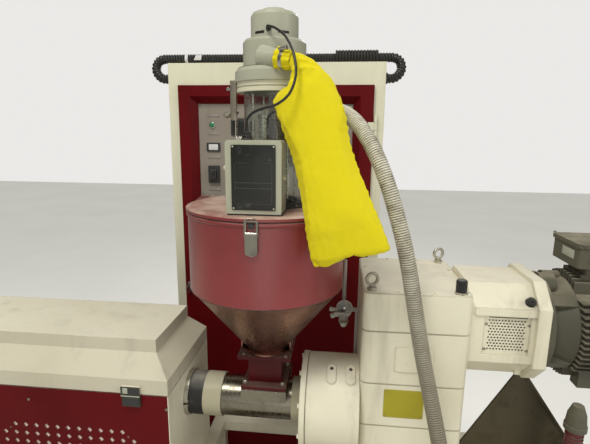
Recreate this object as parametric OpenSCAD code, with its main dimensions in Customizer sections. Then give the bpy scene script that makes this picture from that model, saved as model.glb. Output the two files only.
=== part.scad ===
// Single-screw plastic extruder with its vacuum loader, hopper, drive and control cabinet.
// X runs along the barrel towards the motor, Y runs away from the operator, Z is up from the floor.
// Inside the modules X = 0 and Y = 0 are the hopper axis; placed() moves the machine over its origin.

/* [Barrel line] */
// Height of the barrel centreline above the floor
centre_h = 1000; // [940:10:1100]
// Outer radius of the barrel
barrel_r = 70; // [66:1:73]
// Bore of the barrel
bore_d = 65; // [55:1:80]
// Length of barrel that stands out of the stand at the die end
die_overhang = 80; // [60:2:120]
// Length of barrel behind the hopper axis, up to the bearing housing
barrel_back = 124; // [110:2:160]
// Length of the saddle block under the feed throat
saddle_l = 150; // [140:2:170]
// Half depth of the saddle block
saddle_half_d = 93; // [80:1:100]
// Height of the saddle face above the barrel centreline
saddle_h = 78; // [76:1:90]
// Radius of the die flange
die_flange_r = 112; // [105:1:125]
// Thickness of the die flange
die_flange_t = 45; // [35:1:50]
// Bolt circle diameter of the die flange
die_pcd = 184; // [180:2:196]
// Radius of the die flange bolt holes
die_hole_r = 6.5; // [5.5:0.5:8]
// Number of die flange bolt holes
die_holes = 8; // [6:1:10]
// Radius of the spigot recess that centres the die
spigot_r = 45; // [40:1:50]
// Depth of the spigot recess
spigot_depth = 12; // [8:1:20]
// Number of heater bands along the barrel
heater_count = 4; // [3:1:5]
// Length of one heater band
heater_l = 240; // [180:5:245]
// Radius of the heater fins
heater_r = 108; // [100:1:115]
// Gap between heater bands
heater_gap = 70; // [30:5:75]

/* [Barrel stand] */
// Length of the covered stand
stand_l = 1400; // [1380:10:1500]
// Distance from the hopper axis to the stand's end wall
stand_x = 280; // [276:2:300]
// Width of the stand
stand_w = 400; // [380:5:420]
// Height of the stand top above the barrel centreline
stand_rise = 107; // [100:1:125]
// Thickness of the stand's sheet panels
panel_t = 3; // [2:0.5:4]
// Side of the stand's square posts
post = 40; // [30:2:50]
// Radius of the barrel hole in the end walls
wall_hole_r = 79; // [77:0.5:85]
// Height of the lower edge of the panels above the floor
panel_z = 62; // [50:1:100]
// Side of a diamond vent
vent_side = 13; // [9:0.5:14]
// Distance between vents along the panel
vent_pitch = 37; // [34:1:40]
// Distance between vent rows
vent_row = 31; // [28:1:34]
// Distance from the barrel centreline down to the first vent row
vent_drop = 34; // [30:1:60]

/* [Barrel cover] */
// Height of the cover's lower rail
cover_rail = 50; // [40:1:60]
// Run of the sloping shoulder
shoulder_run = 55; // [45:1:65]
// Rise of the sloping shoulder
shoulder_rise = 65; // [50:1:75]
// Height of the raised top above the shoulder
crown_h = 43; // [30:1:50]
// Radius of the hinge pins
hinge_pin_r = 4; // [3:0.5:5]
// Length of a cover hinge
cover_hinge_l = 90; // [70:2:110]
// Width of a cover latch
latch_w = 61; // [50:1:70]

/* [Drive base] */
// Height of the drive base
base_h = 700; // [660:5:730]
// Width of the drive base
base_w = 600; // [590:5:640]
// Distance from the hopper axis to the motor end of the base
base_x = 1180; // [1140:10:1240]
// Height of the base rails
rail_h = 40; // [36:2:60]
// Width of the base rails
rail_w = 50; // [44:2:60]
// Thickness of the deck under the gearbox
deck_t = 10; // [8:1:15]
// Side of a floor plate
foot_plate = 140; // [120:5:160]
// Thickness of a floor plate
foot_t = 15; // [12:1:20]
// Radius of the anchor holes
anchor_r = 9; // [7:0.5:11]

/* [Gearbox] */
// Distance from the hopper axis to the gearbox
gear_x = 313; // [300:1:325]
// Length of the gearbox along the barrel
gear_l = 323; // [310:1:335]
// Depth of the gearbox
gear_d = 394; // [380:2:410]
// Distance from the barrel centreline to the front face
gear_front = 115; // [105:1:125]
// Height of the gearbox top above the barrel centreline
gear_rise = 444; // [430:2:470]
// Height of the lower split line above the barrel centreline
split_a = 146; // [130:1:160]
// Height of the upper split line above the barrel centreline
split_b = 321; // [300:1:335]
// Corner radius of the castings
gear_corner = 24; // [12:1:36]
// Radius of the bearing housing
housing_r = 165; // [155:1:175]

/* [Motor] */
// Height of the motor axis above the barrel centreline
motor_rise = 313; // [308:1:320]
// Distance of the motor axis behind the barrel centreline
motor_y = 66; // [60:1:75]
// Length of the lantern between gearbox and motor
lantern_l = 192; // [180:2:210]
// Half size of the lantern body
lantern_half = 150; // [142:1:156]
// Half size of the octagonal flange
flange_half = 163; // [160:1:172]
// Thickness of the octagonal flange
flange_t = 38; // [30:1:45]
// Length of the finned motor frame
frame_l = 290; // [260:5:320]
// Radius over the motor fins
fin_r = 172; // [165:1:180]
// Distance between fins
fin_pitch = 18; // [15:1:24]
// Thickness of a fin
fin_t = 4.5; // [3:0.5:6]

/* [Hopper] */
// Radius of the hopper
hopper_r = 250; // [240:1:255]
// Height of the cone's upper rim above the barrel centreline
cone_top = 427; // [410:1:440]
// Height of the hopper lid above the barrel centreline
hopper_top = 683; // [670:1:690]
// Thickness of the hopper sheet
sheet_t = 3; // [2:0.5:4]
// Width of the feed throat
throat_w = 112; // [104:2:120]
// Width of the throat's upper flange
throat_flange = 176; // [170:2:184]
// Thickness of the throat flanges
throat_flange_t = 12; // [10:1:14]
// Height of the upper throat flange above the barrel centreline
throat_top = 192; // [185:1:200]

/* [Vacuum loader] */
// Distance of the loader axis from the hopper axis
loader_x = 25; // [15:1:35]
// Radius of the glass vessel
vessel_r = 94; // [88:1:100]
// Height of the vessel
vessel_h = 325; // [310:1:340]
// Radius of the pressed hood
hood_r = 120; // [116:1:126]
// Radius of the hood's upper step
hood_step_r = 95; // [90:1:100]
// Radius of the motor cap
cap_r = 71; // [66:1:76]
// Width of the loader's control box
box_w = 154; // [146:2:160]
// Height of the loader's control box
box_h = 203; // [195:1:210]
// Depth of the loader's control box
box_d = 88; // [80:1:92]

/* [Control cabinet] */
// Width of the cabinet
cab_w = 1000; // [960:10:1040]
// Depth of the cabinet
cab_d = 400; // [360:10:450]
// Height of the cabinet with its plinth
cab_h = 2226; // [2150:2:2240]
// Distance from the barrel centreline to the cabinet front
cab_y = 680; // [676:2:740]
// Height of the plinth
plinth_h = 100; // [80:5:120]
// Thickness of the cabinet walls
cab_t = 4; // [3:0.5:5]
// Width of the door
door_w = 900; // [880:2:920]
// Thickness of the door
door_t = 19; // [16:1:22]
// Depth of the instrument recess
recess_d = 34; // [28:1:40]

/* [Hidden] */
$fn = 96;

seat = 0.3;
run = 0.08;
zb = centre_h;
stand_x0 = -stand_x - stand_l;
barrel_reach = stand_x + stand_l + die_overhang;
stand_x1 = -stand_x;
stand_top = zb + stand_rise;
gear_x1 = gear_x + gear_l;
flange_x0 = gear_x1 + lantern_l;
flange_x1 = flange_x0 + flange_t;
motor_z = zb + motor_rise;
frame_x0 = flange_x1 + 94;
frame_x1 = frame_x0 + frame_l;
cowl_l = 170;
motor_end = frame_x1 + cowl_l;
lid_z = zb + hopper_top;
lid_rise = 7;
loader_z = lid_z + lid_rise;
loader_base_h = 15;
vessel_z = loader_z + loader_base_h;
ring_z = vessel_z + vessel_h;
ring_h = 29;
hood_z = ring_z + ring_h;
step_z = hood_z + 41;
cap_z = step_z + 80;
cap_h = 76;
cab_mid = -81;
function cab_x(share) = cab_mid + share * cab_w;
door_margin = 49;
door_x1 = cab_x(0.5) - door_margin;
door_x0 = door_x1 - door_w;
door_y = cab_y - 1 - door_t;
door_z0 = plinth_h + 26;
door_z1 = cab_h - 100;
leaf_t = 4;
door_pin_r = 4;
door_knuckle_r = 8;
door_pin_x = door_x1 + door_knuckle_r + 2;
door_pin_y = door_y - leaf_t + door_knuckle_r / 2;

extent_x0 = -barrel_reach;
extent_x1 = motor_end;
extent_y0 = -base_w / 2;
extent_y1 = cab_y + cab_d;

// Moves the machine so that the middle of its footprint stands on the origin
module placed()
    translate([-(extent_x0 + extent_x1) / 2, -(extent_y0 + extent_y1) / 2, 0]) children();

// A box given by its low and high corners
module block(low, high) translate(low) cube(high - low);

// A cylinder along X between two stations
module bar_x(x0, x1, r, y = 0, z = 0)
    translate([x0, y, z]) rotate([0, 90, 0]) cylinder(h = x1 - x0, r = r);

// A cylinder along Y between two stations
module bar_y(y0, y1, r, x = 0, z = 0)
    translate([x, y0, z]) rotate([-90, 0, 0]) cylinder(h = y1 - y0, r = r);

// A rectangle with round corners, centred
module round_rect(w, h, r) {
    square([w - 2 * r, h], center = true);
    square([w, h - 2 * r], center = true);
    for (i = [-1, 1], j = [-1, 1]) translate([i * (w / 2 - r), j * (h / 2 - r)]) circle(r = r);
}

// A slot with round ends, centred
module slot(l, w) {
    square([l - w, w], center = true);
    for (s = [-1, 1]) translate([s * (l - w) / 2, 0]) circle(d = w);
}

// An octagon with flat top and sides
module octagon(half, cut)
    polygon([[-half, -half + cut], [-half + cut, -half], [half - cut, -half], [half, -half + cut],
        [half, half - cut], [half - cut, half], [-half + cut, half], [-half, half - cut]]);

// Turns an outline drawn in Y and Z so that it runs along X
module along_x(x0, x1) translate([x0, 0, 0]) rotate([90, 0, 90]) linear_extrude(x1 - x0) children();

// Turns an outline drawn in X and Z so that it runs along Y
module along_y(y0, y1) translate([0, y1, 0]) rotate([90, 0, 0]) linear_extrude(y1 - y0) children();

// Drive base: four floor plates, posts, two rings of rails and the deck
anchor_inset = 26;
module foot_plates(x_list, half_w) {
    for (x = x_list, s = [-1, 1]) translate([x, s * half_w, 0]) difference() {
        translate([-foot_plate / 2, -foot_plate / 2, 0]) cube([foot_plate, foot_plate, foot_t]);
        translate([0, -s * (foot_plate / 2 - anchor_inset), -1]) cylinder(h = foot_t + 2, r = anchor_r);
    }
}
base_x0 = stand_x1;
base_low = 100;
deck_beam_h = 60;
foot_x = [base_x0 + foot_plate / 2 + 10, base_x - foot_plate / 2];

module base_frame() color("ivory") {
    half = base_w / 2;
    foot_plates(foot_x, half - foot_plate / 2);
    for (s = [-1, 1]) {
        y0 = s > 0 ? half - rail_w : -half;
        block([base_x0, y0, base_h - rail_h], [base_x, y0 + rail_w, base_h]);
        block([base_x0, y0, base_low], [base_x, y0 + rail_w, base_low + rail_h]);
        for (x = [base_x0, base_x - rail_w])
            block([x, y0, base_low], [x + rail_w, y0 + rail_w, base_h]);
        for (x = foot_x)
            block([x - rail_w / 2, y0, foot_t - 1], [x + rail_w / 2, y0 + rail_w, base_low + 1]);
    }
    for (x = [base_x0, base_x - rail_w], z = [base_low, base_h - rail_h])
        block([x, -half + 1, z], [x + rail_w, half - 1, z + rail_h]);
    block([gear_x - 20, -half + 1, base_h - deck_t], [base_x - 1, half - 1, base_h]);
    for (x = [gear_x, gear_x1 - rail_w])
        block([x, rail_w - half - 1, base_h - deck_beam_h], [x + rail_w, half - rail_w + 1, base_h - 1]);
}

// A sheet between the rails with rows of ventilation slots
skirt_t = 3;
skirt_z = base_low + rail_h;
skirt_slots = 7;
skirt_slot = [220, 9];
skirt_slot_pitch = 26;
module slotted_sheet(l, h) difference() {
    square([l, h]);
    for (share = [0.28, 0.72], j = [0 : skirt_slots - 1])
        translate([l * share, h * 0.3 + j * skirt_slot_pitch]) slot(skirt_slot[0], skirt_slot[1]);
}
module base_skirt(side) {
    y = side > 0 ? base_w / 2 - 2 * skirt_t : skirt_t - base_w / 2;
    x0 = base_x0 + rail_w;
    translate([x0, 0, skirt_z]) along_y(y, y + skirt_t)
        slotted_sheet(base_x - rail_w - x0, base_h - rail_h - skirt_z);
}
module base_skirts() color("darkred") {
    base_skirt(-1);
    base_skirt(1);
    block([base_x - 2 * skirt_t, rail_w - base_w / 2, skirt_z],
        [base_x - skirt_t, base_w / 2 - rail_w, base_h - rail_h]);
}

// Barrel stand: posts, beams, the tray for the blowers and a pedestal under the barrel
stand_half = stand_w / 2;
inner_half = stand_half - panel_t;
frame_top = stand_top - 4;
beam_h = 30;
tray_t = 6;
pedestal_x = stand_x0 + 60;
pedestal_half_l = 30;
pedestal_half_w = 45;
saddle_drop = 45;
module stand_frame() color("ivory") {
    for (x = [stand_x0 + panel_t, stand_x1 - panel_t - post], s = [-1, 1]) {
        y0 = s > 0 ? inner_half - post : -inner_half;
        foot_x0 = x < (stand_x0 + stand_x1) / 2 ? x : x - post;
        foot_y0 = s > 0 ? y0 - post : y0;
        block([x, y0, foot_t - 1], [x + post, y0 + post, frame_top]);
        block([foot_x0, foot_y0, 0], [foot_x0 + 2 * post, foot_y0 + 2 * post, foot_t]);
    }
    for (s = [-1, 1], z = [panel_z, frame_top - beam_h]) {
        y0 = s > 0 ? inner_half - post : -inner_half;
        block([stand_x0 + panel_t + 1, y0, z], [stand_x1 - panel_t - 1, y0 + post, z + beam_h]);
    }
    block([stand_x0 + panel_t + 1, 1 - inner_half, panel_z],
        [stand_x1 - panel_t - 1, inner_half - 1, panel_z + tray_t]);
    saddle_z = zb - barrel_r - saddle_drop;
    translate([pedestal_x, 0, 0]) difference() {
        union() {
            block([-pedestal_half_l, -pedestal_half_w, panel_z + 5],
                [pedestal_half_l, pedestal_half_w, saddle_z + 1]);
            block([-pedestal_half_l, -2 * pedestal_half_w, saddle_z],
                [pedestal_half_l, 2 * pedestal_half_w, zb - 20]);
        }
        bar_x(-pedestal_half_l - 1, pedestal_half_l + 1, barrel_r + seat, 0, zb);
    }
}

// One block of diamond vents; its corners have a smaller vent drawn half a step inwards
vent_cols = 13;
vent_rows = 7;
vent_x = 344;
module vent_block() {
    for (i = [0 : vent_cols - 1], j = [0 : vent_rows - 1]) {
        corner = (i == 0 || i == vent_cols - 1) && (j == 0 || j == vent_rows - 1);
        inward = corner ? 0.5 : 0;
        u = i - (vent_cols - 1) / 2;
        v = j - (vent_rows - 1) / 2;
        translate([(u - sign(u) * inward) * vent_pitch, (sign(v) * inward - j) * vent_row])
            rotate(45) square(vent_side * (corner ? 0.55 : 1), center = true);
    }
}
module vented_panel(y) {
    along_y(y, y + panel_t) difference() {
        translate([stand_x0 + panel_t, panel_z]) square([stand_l - 2 * panel_t, stand_top - 3 - panel_z]);
        for (x = [stand_x1 - vent_x, stand_x0 + vent_x])
            translate([x, zb - vent_drop]) vent_block();
    }
}
module stand_panels() color("darkred") for (y = [-stand_half, inner_half]) vented_panel(y);
module stand_end_walls() color("ivory") for (x = [stand_x0, stand_x1 - panel_t]) difference() {
    block([x, -stand_half, panel_z], [x + panel_t, stand_half, stand_top - 3]);
    bar_x(x - 1, x + panel_t + 1, wall_hole_r, 0, zb);
}

// Barrel cover: two mitred outlines crossing, hollowed by the same form drawn smaller
cover_h = cover_rail + shoulder_rise + crown_h;
function cover_outline(half, inset) =
    let(a = half - inset, b = a - shoulder_run, shoulder = cover_rail + shoulder_rise - inset / 2) [
        [-a, -1], [a, -1], [a, cover_rail], [b, shoulder],
        [b, cover_h - inset], [-b, cover_h - inset], [-b, shoulder], [-a, cover_rail]];
module cover_form(inset) {
    mid = (stand_x0 + stand_x1) / 2;
    low_z = stand_top - (inset > 0 ? 1 : 0);
    intersection() {
        translate([0, 0, stand_top]) along_x(stand_x0, stand_x1)
            polygon(cover_outline(stand_half, inset));
        translate([mid, 0, stand_top]) along_y(-stand_half, stand_half)
            polygon(cover_outline(stand_l / 2, inset));
        block([stand_x0, -stand_half, low_z], [stand_x1, stand_half, stand_top + cover_h]);
    }
}
latch_inset = 118;
latch_x = [stand_x1 - latch_inset, stand_x0 + latch_inset];
keeper_t = 9;
keeper_h = 28;
module barrel_cover() color("ivory") {
    difference() {
        cover_form(0);
        cover_form(panel_t);
    }
    for (x = latch_x)
        block([x - latch_w / 2, -stand_half - keeper_t, stand_top + 1],
            [x + latch_w / 2, 1 - stand_half, stand_top + keeper_h]);
}

// Hinges of the cover
cover_pin_y = stand_half + hinge_pin_r + 4;
cover_hinge_inset = 200;
cover_hinge_x = [stand_x1 - cover_hinge_inset, (stand_x0 + stand_x1) / 2, stand_x0 + cover_hinge_inset];
cover_leaf_t = 3;
cover_leaf_h = 45;
knuckle = hinge_pin_r + 3;
module cover_hinges() color("silver") for (x = cover_hinge_x) translate([x, stand_half, stand_top]) {
    half = cover_hinge_l / 2;
    pin_y = cover_pin_y - stand_half;
    block([-half, 0, -cover_leaf_h], [half, cover_leaf_t, -knuckle + 1]);
    for (s = [-1, 1]) {
        x0 = s * cover_hinge_l / 3 - half / 3;
        bar_x(x0, x0 + 2 * half / 3, knuckle, pin_y);
        block([x0, 0, -knuckle - 3], [x0 + 2 * half / 3, pin_y, -3]);
    }
    bar_x(-half - 2, half + 2, hinge_pin_r, pin_y);
}
module cover_hinge_leaves() color("silver") for (x = cover_hinge_x) translate([x, stand_half, stand_top]) {
    half = cover_hinge_l / 2;
    third = half / 3 - 0.5;
    pin_y = cover_pin_y - stand_half;
    block([-half, 0, knuckle + 2], [half, cover_leaf_t, cover_leaf_h - 3]);
    difference() {
        union() {
            bar_x(-third, third, knuckle, pin_y);
            block([-third, 0, 4], [third, cover_leaf_t, knuckle + 3]);
            block([-third, 0, 2], [third, pin_y, 6]);
        }
        bar_x(-third - 1, third + 1, hinge_pin_r + run, pin_y);
    }
}
catch_t = 12;
catch_h = 37;
module cover_latches() color("dimgray") for (x = latch_x)
    block([x - latch_w / 2 + 4, -stand_half - catch_t, stand_top - catch_h],
        [x + latch_w / 2, -stand_half, stand_top - 3]);

// Barrel, screw and heaters
bore_end = barrel_back - 20;
saddle_low = 40;
feed_half_l = 35;
feed_half_w = 30;
module barrel() color("silver") translate([0, 0, zb]) difference() {
    union() {
        bar_x(-barrel_reach, barrel_back, barrel_r);
        block([-saddle_l / 2, -saddle_half_d, saddle_low], [saddle_l / 2, saddle_half_d, saddle_h]);
    }
    bar_x(-barrel_reach - 1, bore_end, bore_d / 2);
    bar_x(-barrel_reach - 1, -barrel_reach + spigot_depth, spigot_r);
    block([-feed_half_l, -feed_half_w, 0], [feed_half_l, feed_half_w, saddle_h + 1]);
}
screw_root = bore_d * 0.36;
screw_tip = -barrel_reach + spigot_depth + 14;
tip_l = 40;
shank_l = 60;
screw_end = bore_end - seat;
module screw() color("silver") {
    bar_x(screw_tip + tip_l, screw_end, screw_root, 0, zb);
    bar_x(screw_end - shank_l, screw_end, bore_d / 2 - seat, 0, zb);
    translate([screw_tip + tip_l, 0, zb]) rotate([0, -90, 0]) cylinder(h = tip_l, r1 = screw_root, r2 = 2);
}

// Helical flight round the screw's root, one turn per bore diameter
flight_t = 7;
flight_steps = 12;
flight_x0 = screw_tip + tip_l + 4;
flight_turns = floor((screw_end - shank_l - 6 - flight_x0) / bore_d);
flight_count = flight_turns * flight_steps;
flight_inner = screw_root / cos(180 / flight_steps) + seat;
flight_outer = bore_d / 2 - seat;
flight_corners = [[0, flight_inner], [flight_t, flight_inner], [flight_t, flight_outer], [0, flight_outer]];
function flight_point(i, c) = let(a = i * 360 / flight_steps, x = flight_x0 + i * bore_d / flight_steps)
    [x + c[0], c[1] * cos(a), zb + c[1] * sin(a)];
module screw_flight() color("silver") polyhedron(
    points = [for (i = [0 : flight_count], c = flight_corners) flight_point(i, c)],
    faces = concat(
        [[0, 1, 2], [0, 2, 3]],
        [for (e = [flight_count * 4]) each [[e, e + 2, e + 1], [e, e + 3, e + 2]]],
        [for (i = [0 : flight_count - 1], k = [0 : 3]) let(a = i * 4 + k, b = i * 4 + (k + 1) % 4)
            each [[a, a + 4, b + 4], [a, b + 4, b]]]));

module die_flange() color("silver") difference() {
    bar_x(-barrel_reach, -barrel_reach + die_flange_t, die_flange_r, 0, zb);
    bar_x(-barrel_reach - 1, -barrel_reach + die_flange_t + 1, barrel_r + seat, 0, zb);
    for (i = [0 : die_holes - 1]) let(a = (i + 0.5) * 360 / die_holes)
        bar_x(-barrel_reach - 1, -barrel_reach + die_flange_t + 1, die_hole_r,
            die_pcd / 2 * cos(a), zb + die_pcd / 2 * sin(a));
}
heater_margin = 45;
heater_x = [for (i = [0 : heater_count - 1])
    stand_x1 - heater_margin - heater_l - i * (heater_l + heater_gap)];
heater_body_t = 18;
heater_fin_t = 6;
heater_fin_pitch = 20;
module heater(x) translate([x, 0, zb]) rotate([0, 90, 0]) rotate_extrude() {
    translate([barrel_r + seat, 0]) square([heater_body_t, heater_l]);
    fins = floor(heater_l / heater_fin_pitch);
    for (i = [0 : fins - 1])
        translate([barrel_r + seat + 1, heater_fin_t + i * (heater_l - 3 * heater_fin_t) / (fins - 1)])
            square([heater_r - barrel_r - 1, heater_fin_t]);
}
module barrel_heaters() color("gainsboro") for (x = heater_x) heater(x);

// One blower under each heater: outlet duct, scroll and foot
blower_top = zb - heater_r - 12;
blower_r = 95;
blower_w = 90;
duct_w = 100;
duct_h = 60;
blower_foot_w = 120;
blower_motor_l = 70;
module blower(x) {
    translate([x + heater_l / 2, 0, 0]) {
        scroll_z = blower_top - duct_h - blower_r + 5;
        block([-duct_w / 2, -duct_w / 2, scroll_z + blower_r - 10], [duct_w / 2, duct_w / 2, blower_top]);
        bar_y(-blower_w / 2, blower_w / 2, blower_r, 0, scroll_z);
        bar_y(-blower_w / 2 - 12, -blower_w / 2 + 1, blower_r * 0.55, 0, scroll_z);
        bar_y(blower_w / 2 - 1, blower_w / 2 + blower_motor_l, blower_r * 0.5, 0, scroll_z);
        block([-blower_foot_w / 2, -blower_foot_w / 2, panel_z + tray_t],
            [blower_foot_w / 2, blower_foot_w / 2, scroll_z - blower_r + 15]);
    }
}
module zone_blowers() color("dimgray") for (x = heater_x) blower(x);

// Rings on the barrel where it leaves the stand
clamp_half_l = 14;
seal_l = 64;
collar_l = 64;
module barrel_ring(x0, x1, r) difference() {
    bar_x(x0, x1, r, 0, zb);
    bar_x(x0 - 1, x1 + 1, barrel_r + seat, 0, zb);
}
clamp_play = 1.2;
clamp_split = 4;
end_collar_l = 34;
module barrel_clamp() color("silver") translate([stand_x1, 0, 0]) difference() {
    barrel_ring(-clamp_half_l, clamp_half_l, wall_hole_r - clamp_play);
    block([-clamp_half_l - 1, -wall_hole_r, zb - clamp_split],
        [clamp_half_l + 1, 4 - barrel_r, zb + clamp_split]);
}
module seal_ring() color("black")
    barrel_ring(stand_x1 + clamp_half_l + seat, stand_x1 + seal_l, barrel_r + 4);
module jacket_ring() color("khaki") {
    barrel_ring(stand_x1 + seal_l + seat, stand_x1 + seal_l + collar_l, barrel_r + 5);
    barrel_ring(barrel_back - seat - end_collar_l, barrel_back - seat, barrel_r + 5);
}

// Bearing housing between barrel and gearbox
housing_flange_t = 18;
housing_groove_t = 3;
pad_w = 30;
pad_l = 72;
pad_turn = 27;
pad_hole_r = 6;
pad_x = [barrel_back + 99, barrel_back + 161];
module on_housing(x) translate([x, 0, zb]) rotate([pad_turn, 0, 0]) children();
module bearing_housing() color("ivory") difference() {
    union() {
        bar_x(barrel_back, barrel_back + housing_flange_t, housing_r, 0, zb);
        bar_x(barrel_back + housing_flange_t - 1, barrel_back + housing_flange_t + housing_groove_t + 1,
            housing_r - 5, 0, zb);
        bar_x(barrel_back + housing_flange_t + housing_groove_t, gear_x, housing_r - 2, 0, zb);
        for (x = pad_x) on_housing(x)
            translate([0, 0, housing_r - 30]) rotate(90) linear_extrude(34) slot(pad_l, pad_w);
    }
    for (x = pad_x) on_housing(x) translate([0, pad_l / 4, housing_r - 20]) cylinder(h = 40, r = pad_hole_r);
}

// Gearbox castings, one per split line, each a little smaller at the joint faces
gear_mid = [gear_x + gear_l / 2, -gear_front + gear_d / 2];
split_inset = 4;
split_h = 2;
module casting(z0, z1) translate([gear_mid[0], gear_mid[1], z0]) {
    linear_extrude(z1 - z0)
        round_rect(gear_l - 2 * split_inset, gear_d - 2 * split_inset, gear_corner - split_inset);
    translate([0, 0, split_h]) linear_extrude(z1 - z0 - 2 * split_h)
        round_rect(gear_l, gear_d, gear_corner);
}
foot_flange_w = 15;
foot_flange_h = 24;
foot_flange_inset = 10;
module gearbox_lower() color("ivory") {
    casting(base_h, zb);
    for (y = [-gear_front, -gear_front + gear_d])
        block([gear_x + foot_flange_inset, y - foot_flange_w, base_h],
            [gear_x1 - foot_flange_inset, y + foot_flange_w, base_h + foot_flange_h]);
}
module gearbox_middle() color("ivory") casting(zb, zb + split_a);
pad_plate = [116, 83];
pad_plate_t = 3;
module gearbox_upper() color("ivory") {
    casting(zb + split_a, zb + split_b);
    translate([gear_mid[0], 0, zb + (split_a + split_b) / 2])
        along_y(-gear_front - pad_plate_t, 1 - gear_front) round_rect(pad_plate[0], pad_plate[1], 5);
}
module gearbox_top() color("ivory") casting(zb + split_b, zb + gear_rise);
gear_top = zb + gear_rise;
eye_ring_r = 18;
eye_wire_r = 5;
eye_inset = 32;
module eye(x, y) translate([x, y, gear_top]) {
    cylinder(h = 10, r = 14);
    cylinder(h = 20, r = 8);
    translate([0, 0, eye_ring_r + 16]) rotate([90, 0, 20]) rotate_extrude()
        translate([eye_ring_r, 0]) circle(r = eye_wire_r, $fn = 24);
}
module gearbox_fittings() color("dimgray") {
    eye(gear_x + eye_inset - 6, eye_inset - gear_front);
    eye(gear_x1 - eye_inset, gear_d - gear_front - eye_inset);
    translate([gear_x1 - eye_inset, eye_inset - gear_front, gear_top]) {
        cylinder(h = 6, r = 19);
        cylinder(h = 28, r = 12);
        translate([0, 0, 26]) cylinder(h = 14, r = 14);
    }
}

// Lantern and its octagonal flange
octagon_cut = 0.42;
window_x0 = gear_x1 + 44;
window_x1 = flange_x0 - 13;
window_z0 = motor_z - 60;
window_z1 = motor_z + 65;
window_rim = 25;
lantern_wall = 14;
module lantern_octagon(half) translate([motor_y, motor_z]) octagon(half, half * octagon_cut);
module lantern() color("ivory") difference() {
    union() {
        along_x(gear_x1, flange_x0 + 1) lantern_octagon(lantern_half);
        along_x(flange_x0, flange_x1) lantern_octagon(flange_half);
        block([gear_x1 + lantern_wall, motor_y - lantern_half - 5, window_z1],
            [flange_x0, motor_y - lantern_half + 1, window_z1 + window_rim]);
        block([flange_x0 - 2 * lantern_wall, motor_y - 110, motor_z - lantern_half + 4],
            [flange_x0 - 10, motor_y - 62, motor_z - 90]);
    }
    along_x(gear_x1 + lantern_wall, flange_x0 - 10) lantern_octagon(lantern_half - lantern_wall);
    bar_x(gear_x1 - 1, flange_x1 + 1, lantern_half / 2, motor_y, motor_z);
    block([window_x0, motor_y - lantern_half - 1, window_z0],
        [window_x1, motor_y + lantern_half + 1, window_z1]);
}

// Perforated sheets over the lantern windows
guard_pitch = 9.3;
guard_hole_r = 2.9;
guard_t = 2;
guard_border = 9;
module guard(side) {
    w = window_x1 - window_x0 - 2 * seat;
    h = window_z1 - window_z0 - 2 * seat;
    y = motor_y + side * (lantern_half - 6);
    cols = floor((w - 2 * guard_border) / guard_pitch);
    rows = floor((h - 2 * guard_border) / guard_pitch);
    translate([window_x0 + seat + w / 2, 0, window_z0 + seat + h / 2])
        along_y(y - guard_t / 2, y + guard_t / 2) difference() {
            square([w, h], center = true);
            for (j = [0 : rows - 1], i = [0 : cols - 1 - j % 2])
                translate([i - (cols - 1 - j % 2) / 2, j - (rows - 1) / 2] * guard_pitch)
                    circle(r = guard_hole_r, $fn = 24);
        }
}
module lantern_guards() color("gainsboro") for (s = [-1, 1]) guard(s);

// Coupling between gearbox shaft and motor shaft, seen through the guards
coupling_r = 62;
coupling_half_l = 54;
coupling_gap = 12;
shaft_r = 24;
module shaft_coupling() color("silver") translate([(gear_x1 + flange_x1) / 2, motor_y, motor_z]) {
    reach = (flange_x1 - gear_x1) / 2;
    bar_x(-reach, reach, shaft_r);
    bar_x(-coupling_half_l, -coupling_gap / 2, coupling_r);
    bar_x(coupling_gap / 2, coupling_half_l, coupling_r);
    bar_x(-coupling_gap, coupling_gap, coupling_r - 8);
}

// Motor: end shield with four bolting ribs and the housings of its brake on top
shield_disc_t = 20;
shield_rib_half_w = 18;
module motor_shield() color("dimgray") translate([0, motor_y, motor_z]) {
    bar_x(flange_x1, flange_x1 + shield_disc_t, flange_half - 3);
    translate([flange_x1 + shield_disc_t - 1, 0, 0]) rotate([0, 90, 0])
        cylinder(h = frame_x0 - flange_x1 - shield_disc_t + 1, r1 = fin_r - 54, r2 = fin_r - 22);
    for (a = [45 : 90 : 315]) rotate([a, 0, 0])
        block([flange_x1 + 10, -shield_rib_half_w, fin_r - 72],
            [frame_x0 - 1, shield_rib_half_w, fin_r - 20]);
    bar_x(flange_x1 + 4, flange_x1 + 52, 36, -22, fin_r - 40);
    bar_x(flange_x1 + 40, frame_x0, 30, 34, fin_r - 42);
}

// Outline of the motor frame: a core with level fins at its sides and upright ones above and below
core_r = fin_r - 32;
module fin_outline() {
    side_fins = floor(core_r * 0.8 / fin_pitch);
    top_fins = floor(core_r * 0.55 / fin_pitch);
    circle(r = core_r);
    intersection() {
        circle(r = fin_r);
        union() {
            for (i = [-side_fins : side_fins])
                translate([0, i * fin_pitch]) square([2 * fin_r, fin_t], center = true);
            for (i = [-top_fins : top_fins])
                translate([i * fin_pitch, 0]) square([fin_t, 2 * fin_r], center = true);
        }
    }
}
term_l = 200;
term_w = 168;
term_h = 64;
term_neck_h = 28;
term_lid_h = 12;
term_pad_w = 110;
term_pad_l = 140;
term_mid_x = frame_x0 + term_l / 2 - 5;
term_z = motor_z + fin_r + 4;
motor_pad_y = 90;
motor_pad_half_w = 22;
motor_pad_inset = 30;
module motor_frame() color("dimgray") translate([0, motor_y, 0]) {
    along_x(frame_x0, frame_x1) translate([0, motor_z]) fin_outline();
    block([term_mid_x - term_pad_l / 2, -term_pad_w / 2, motor_z + core_r - 20],
        [term_mid_x + term_pad_l / 2, term_pad_w / 2, term_z]);
    for (y = [-motor_pad_y, motor_pad_y])
        block([frame_x0 + motor_pad_inset, y - motor_pad_half_w, motor_z - fin_r - 4],
            [frame_x1 - motor_pad_inset, y + motor_pad_half_w, motor_z - core_r + 30]);
}

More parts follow.
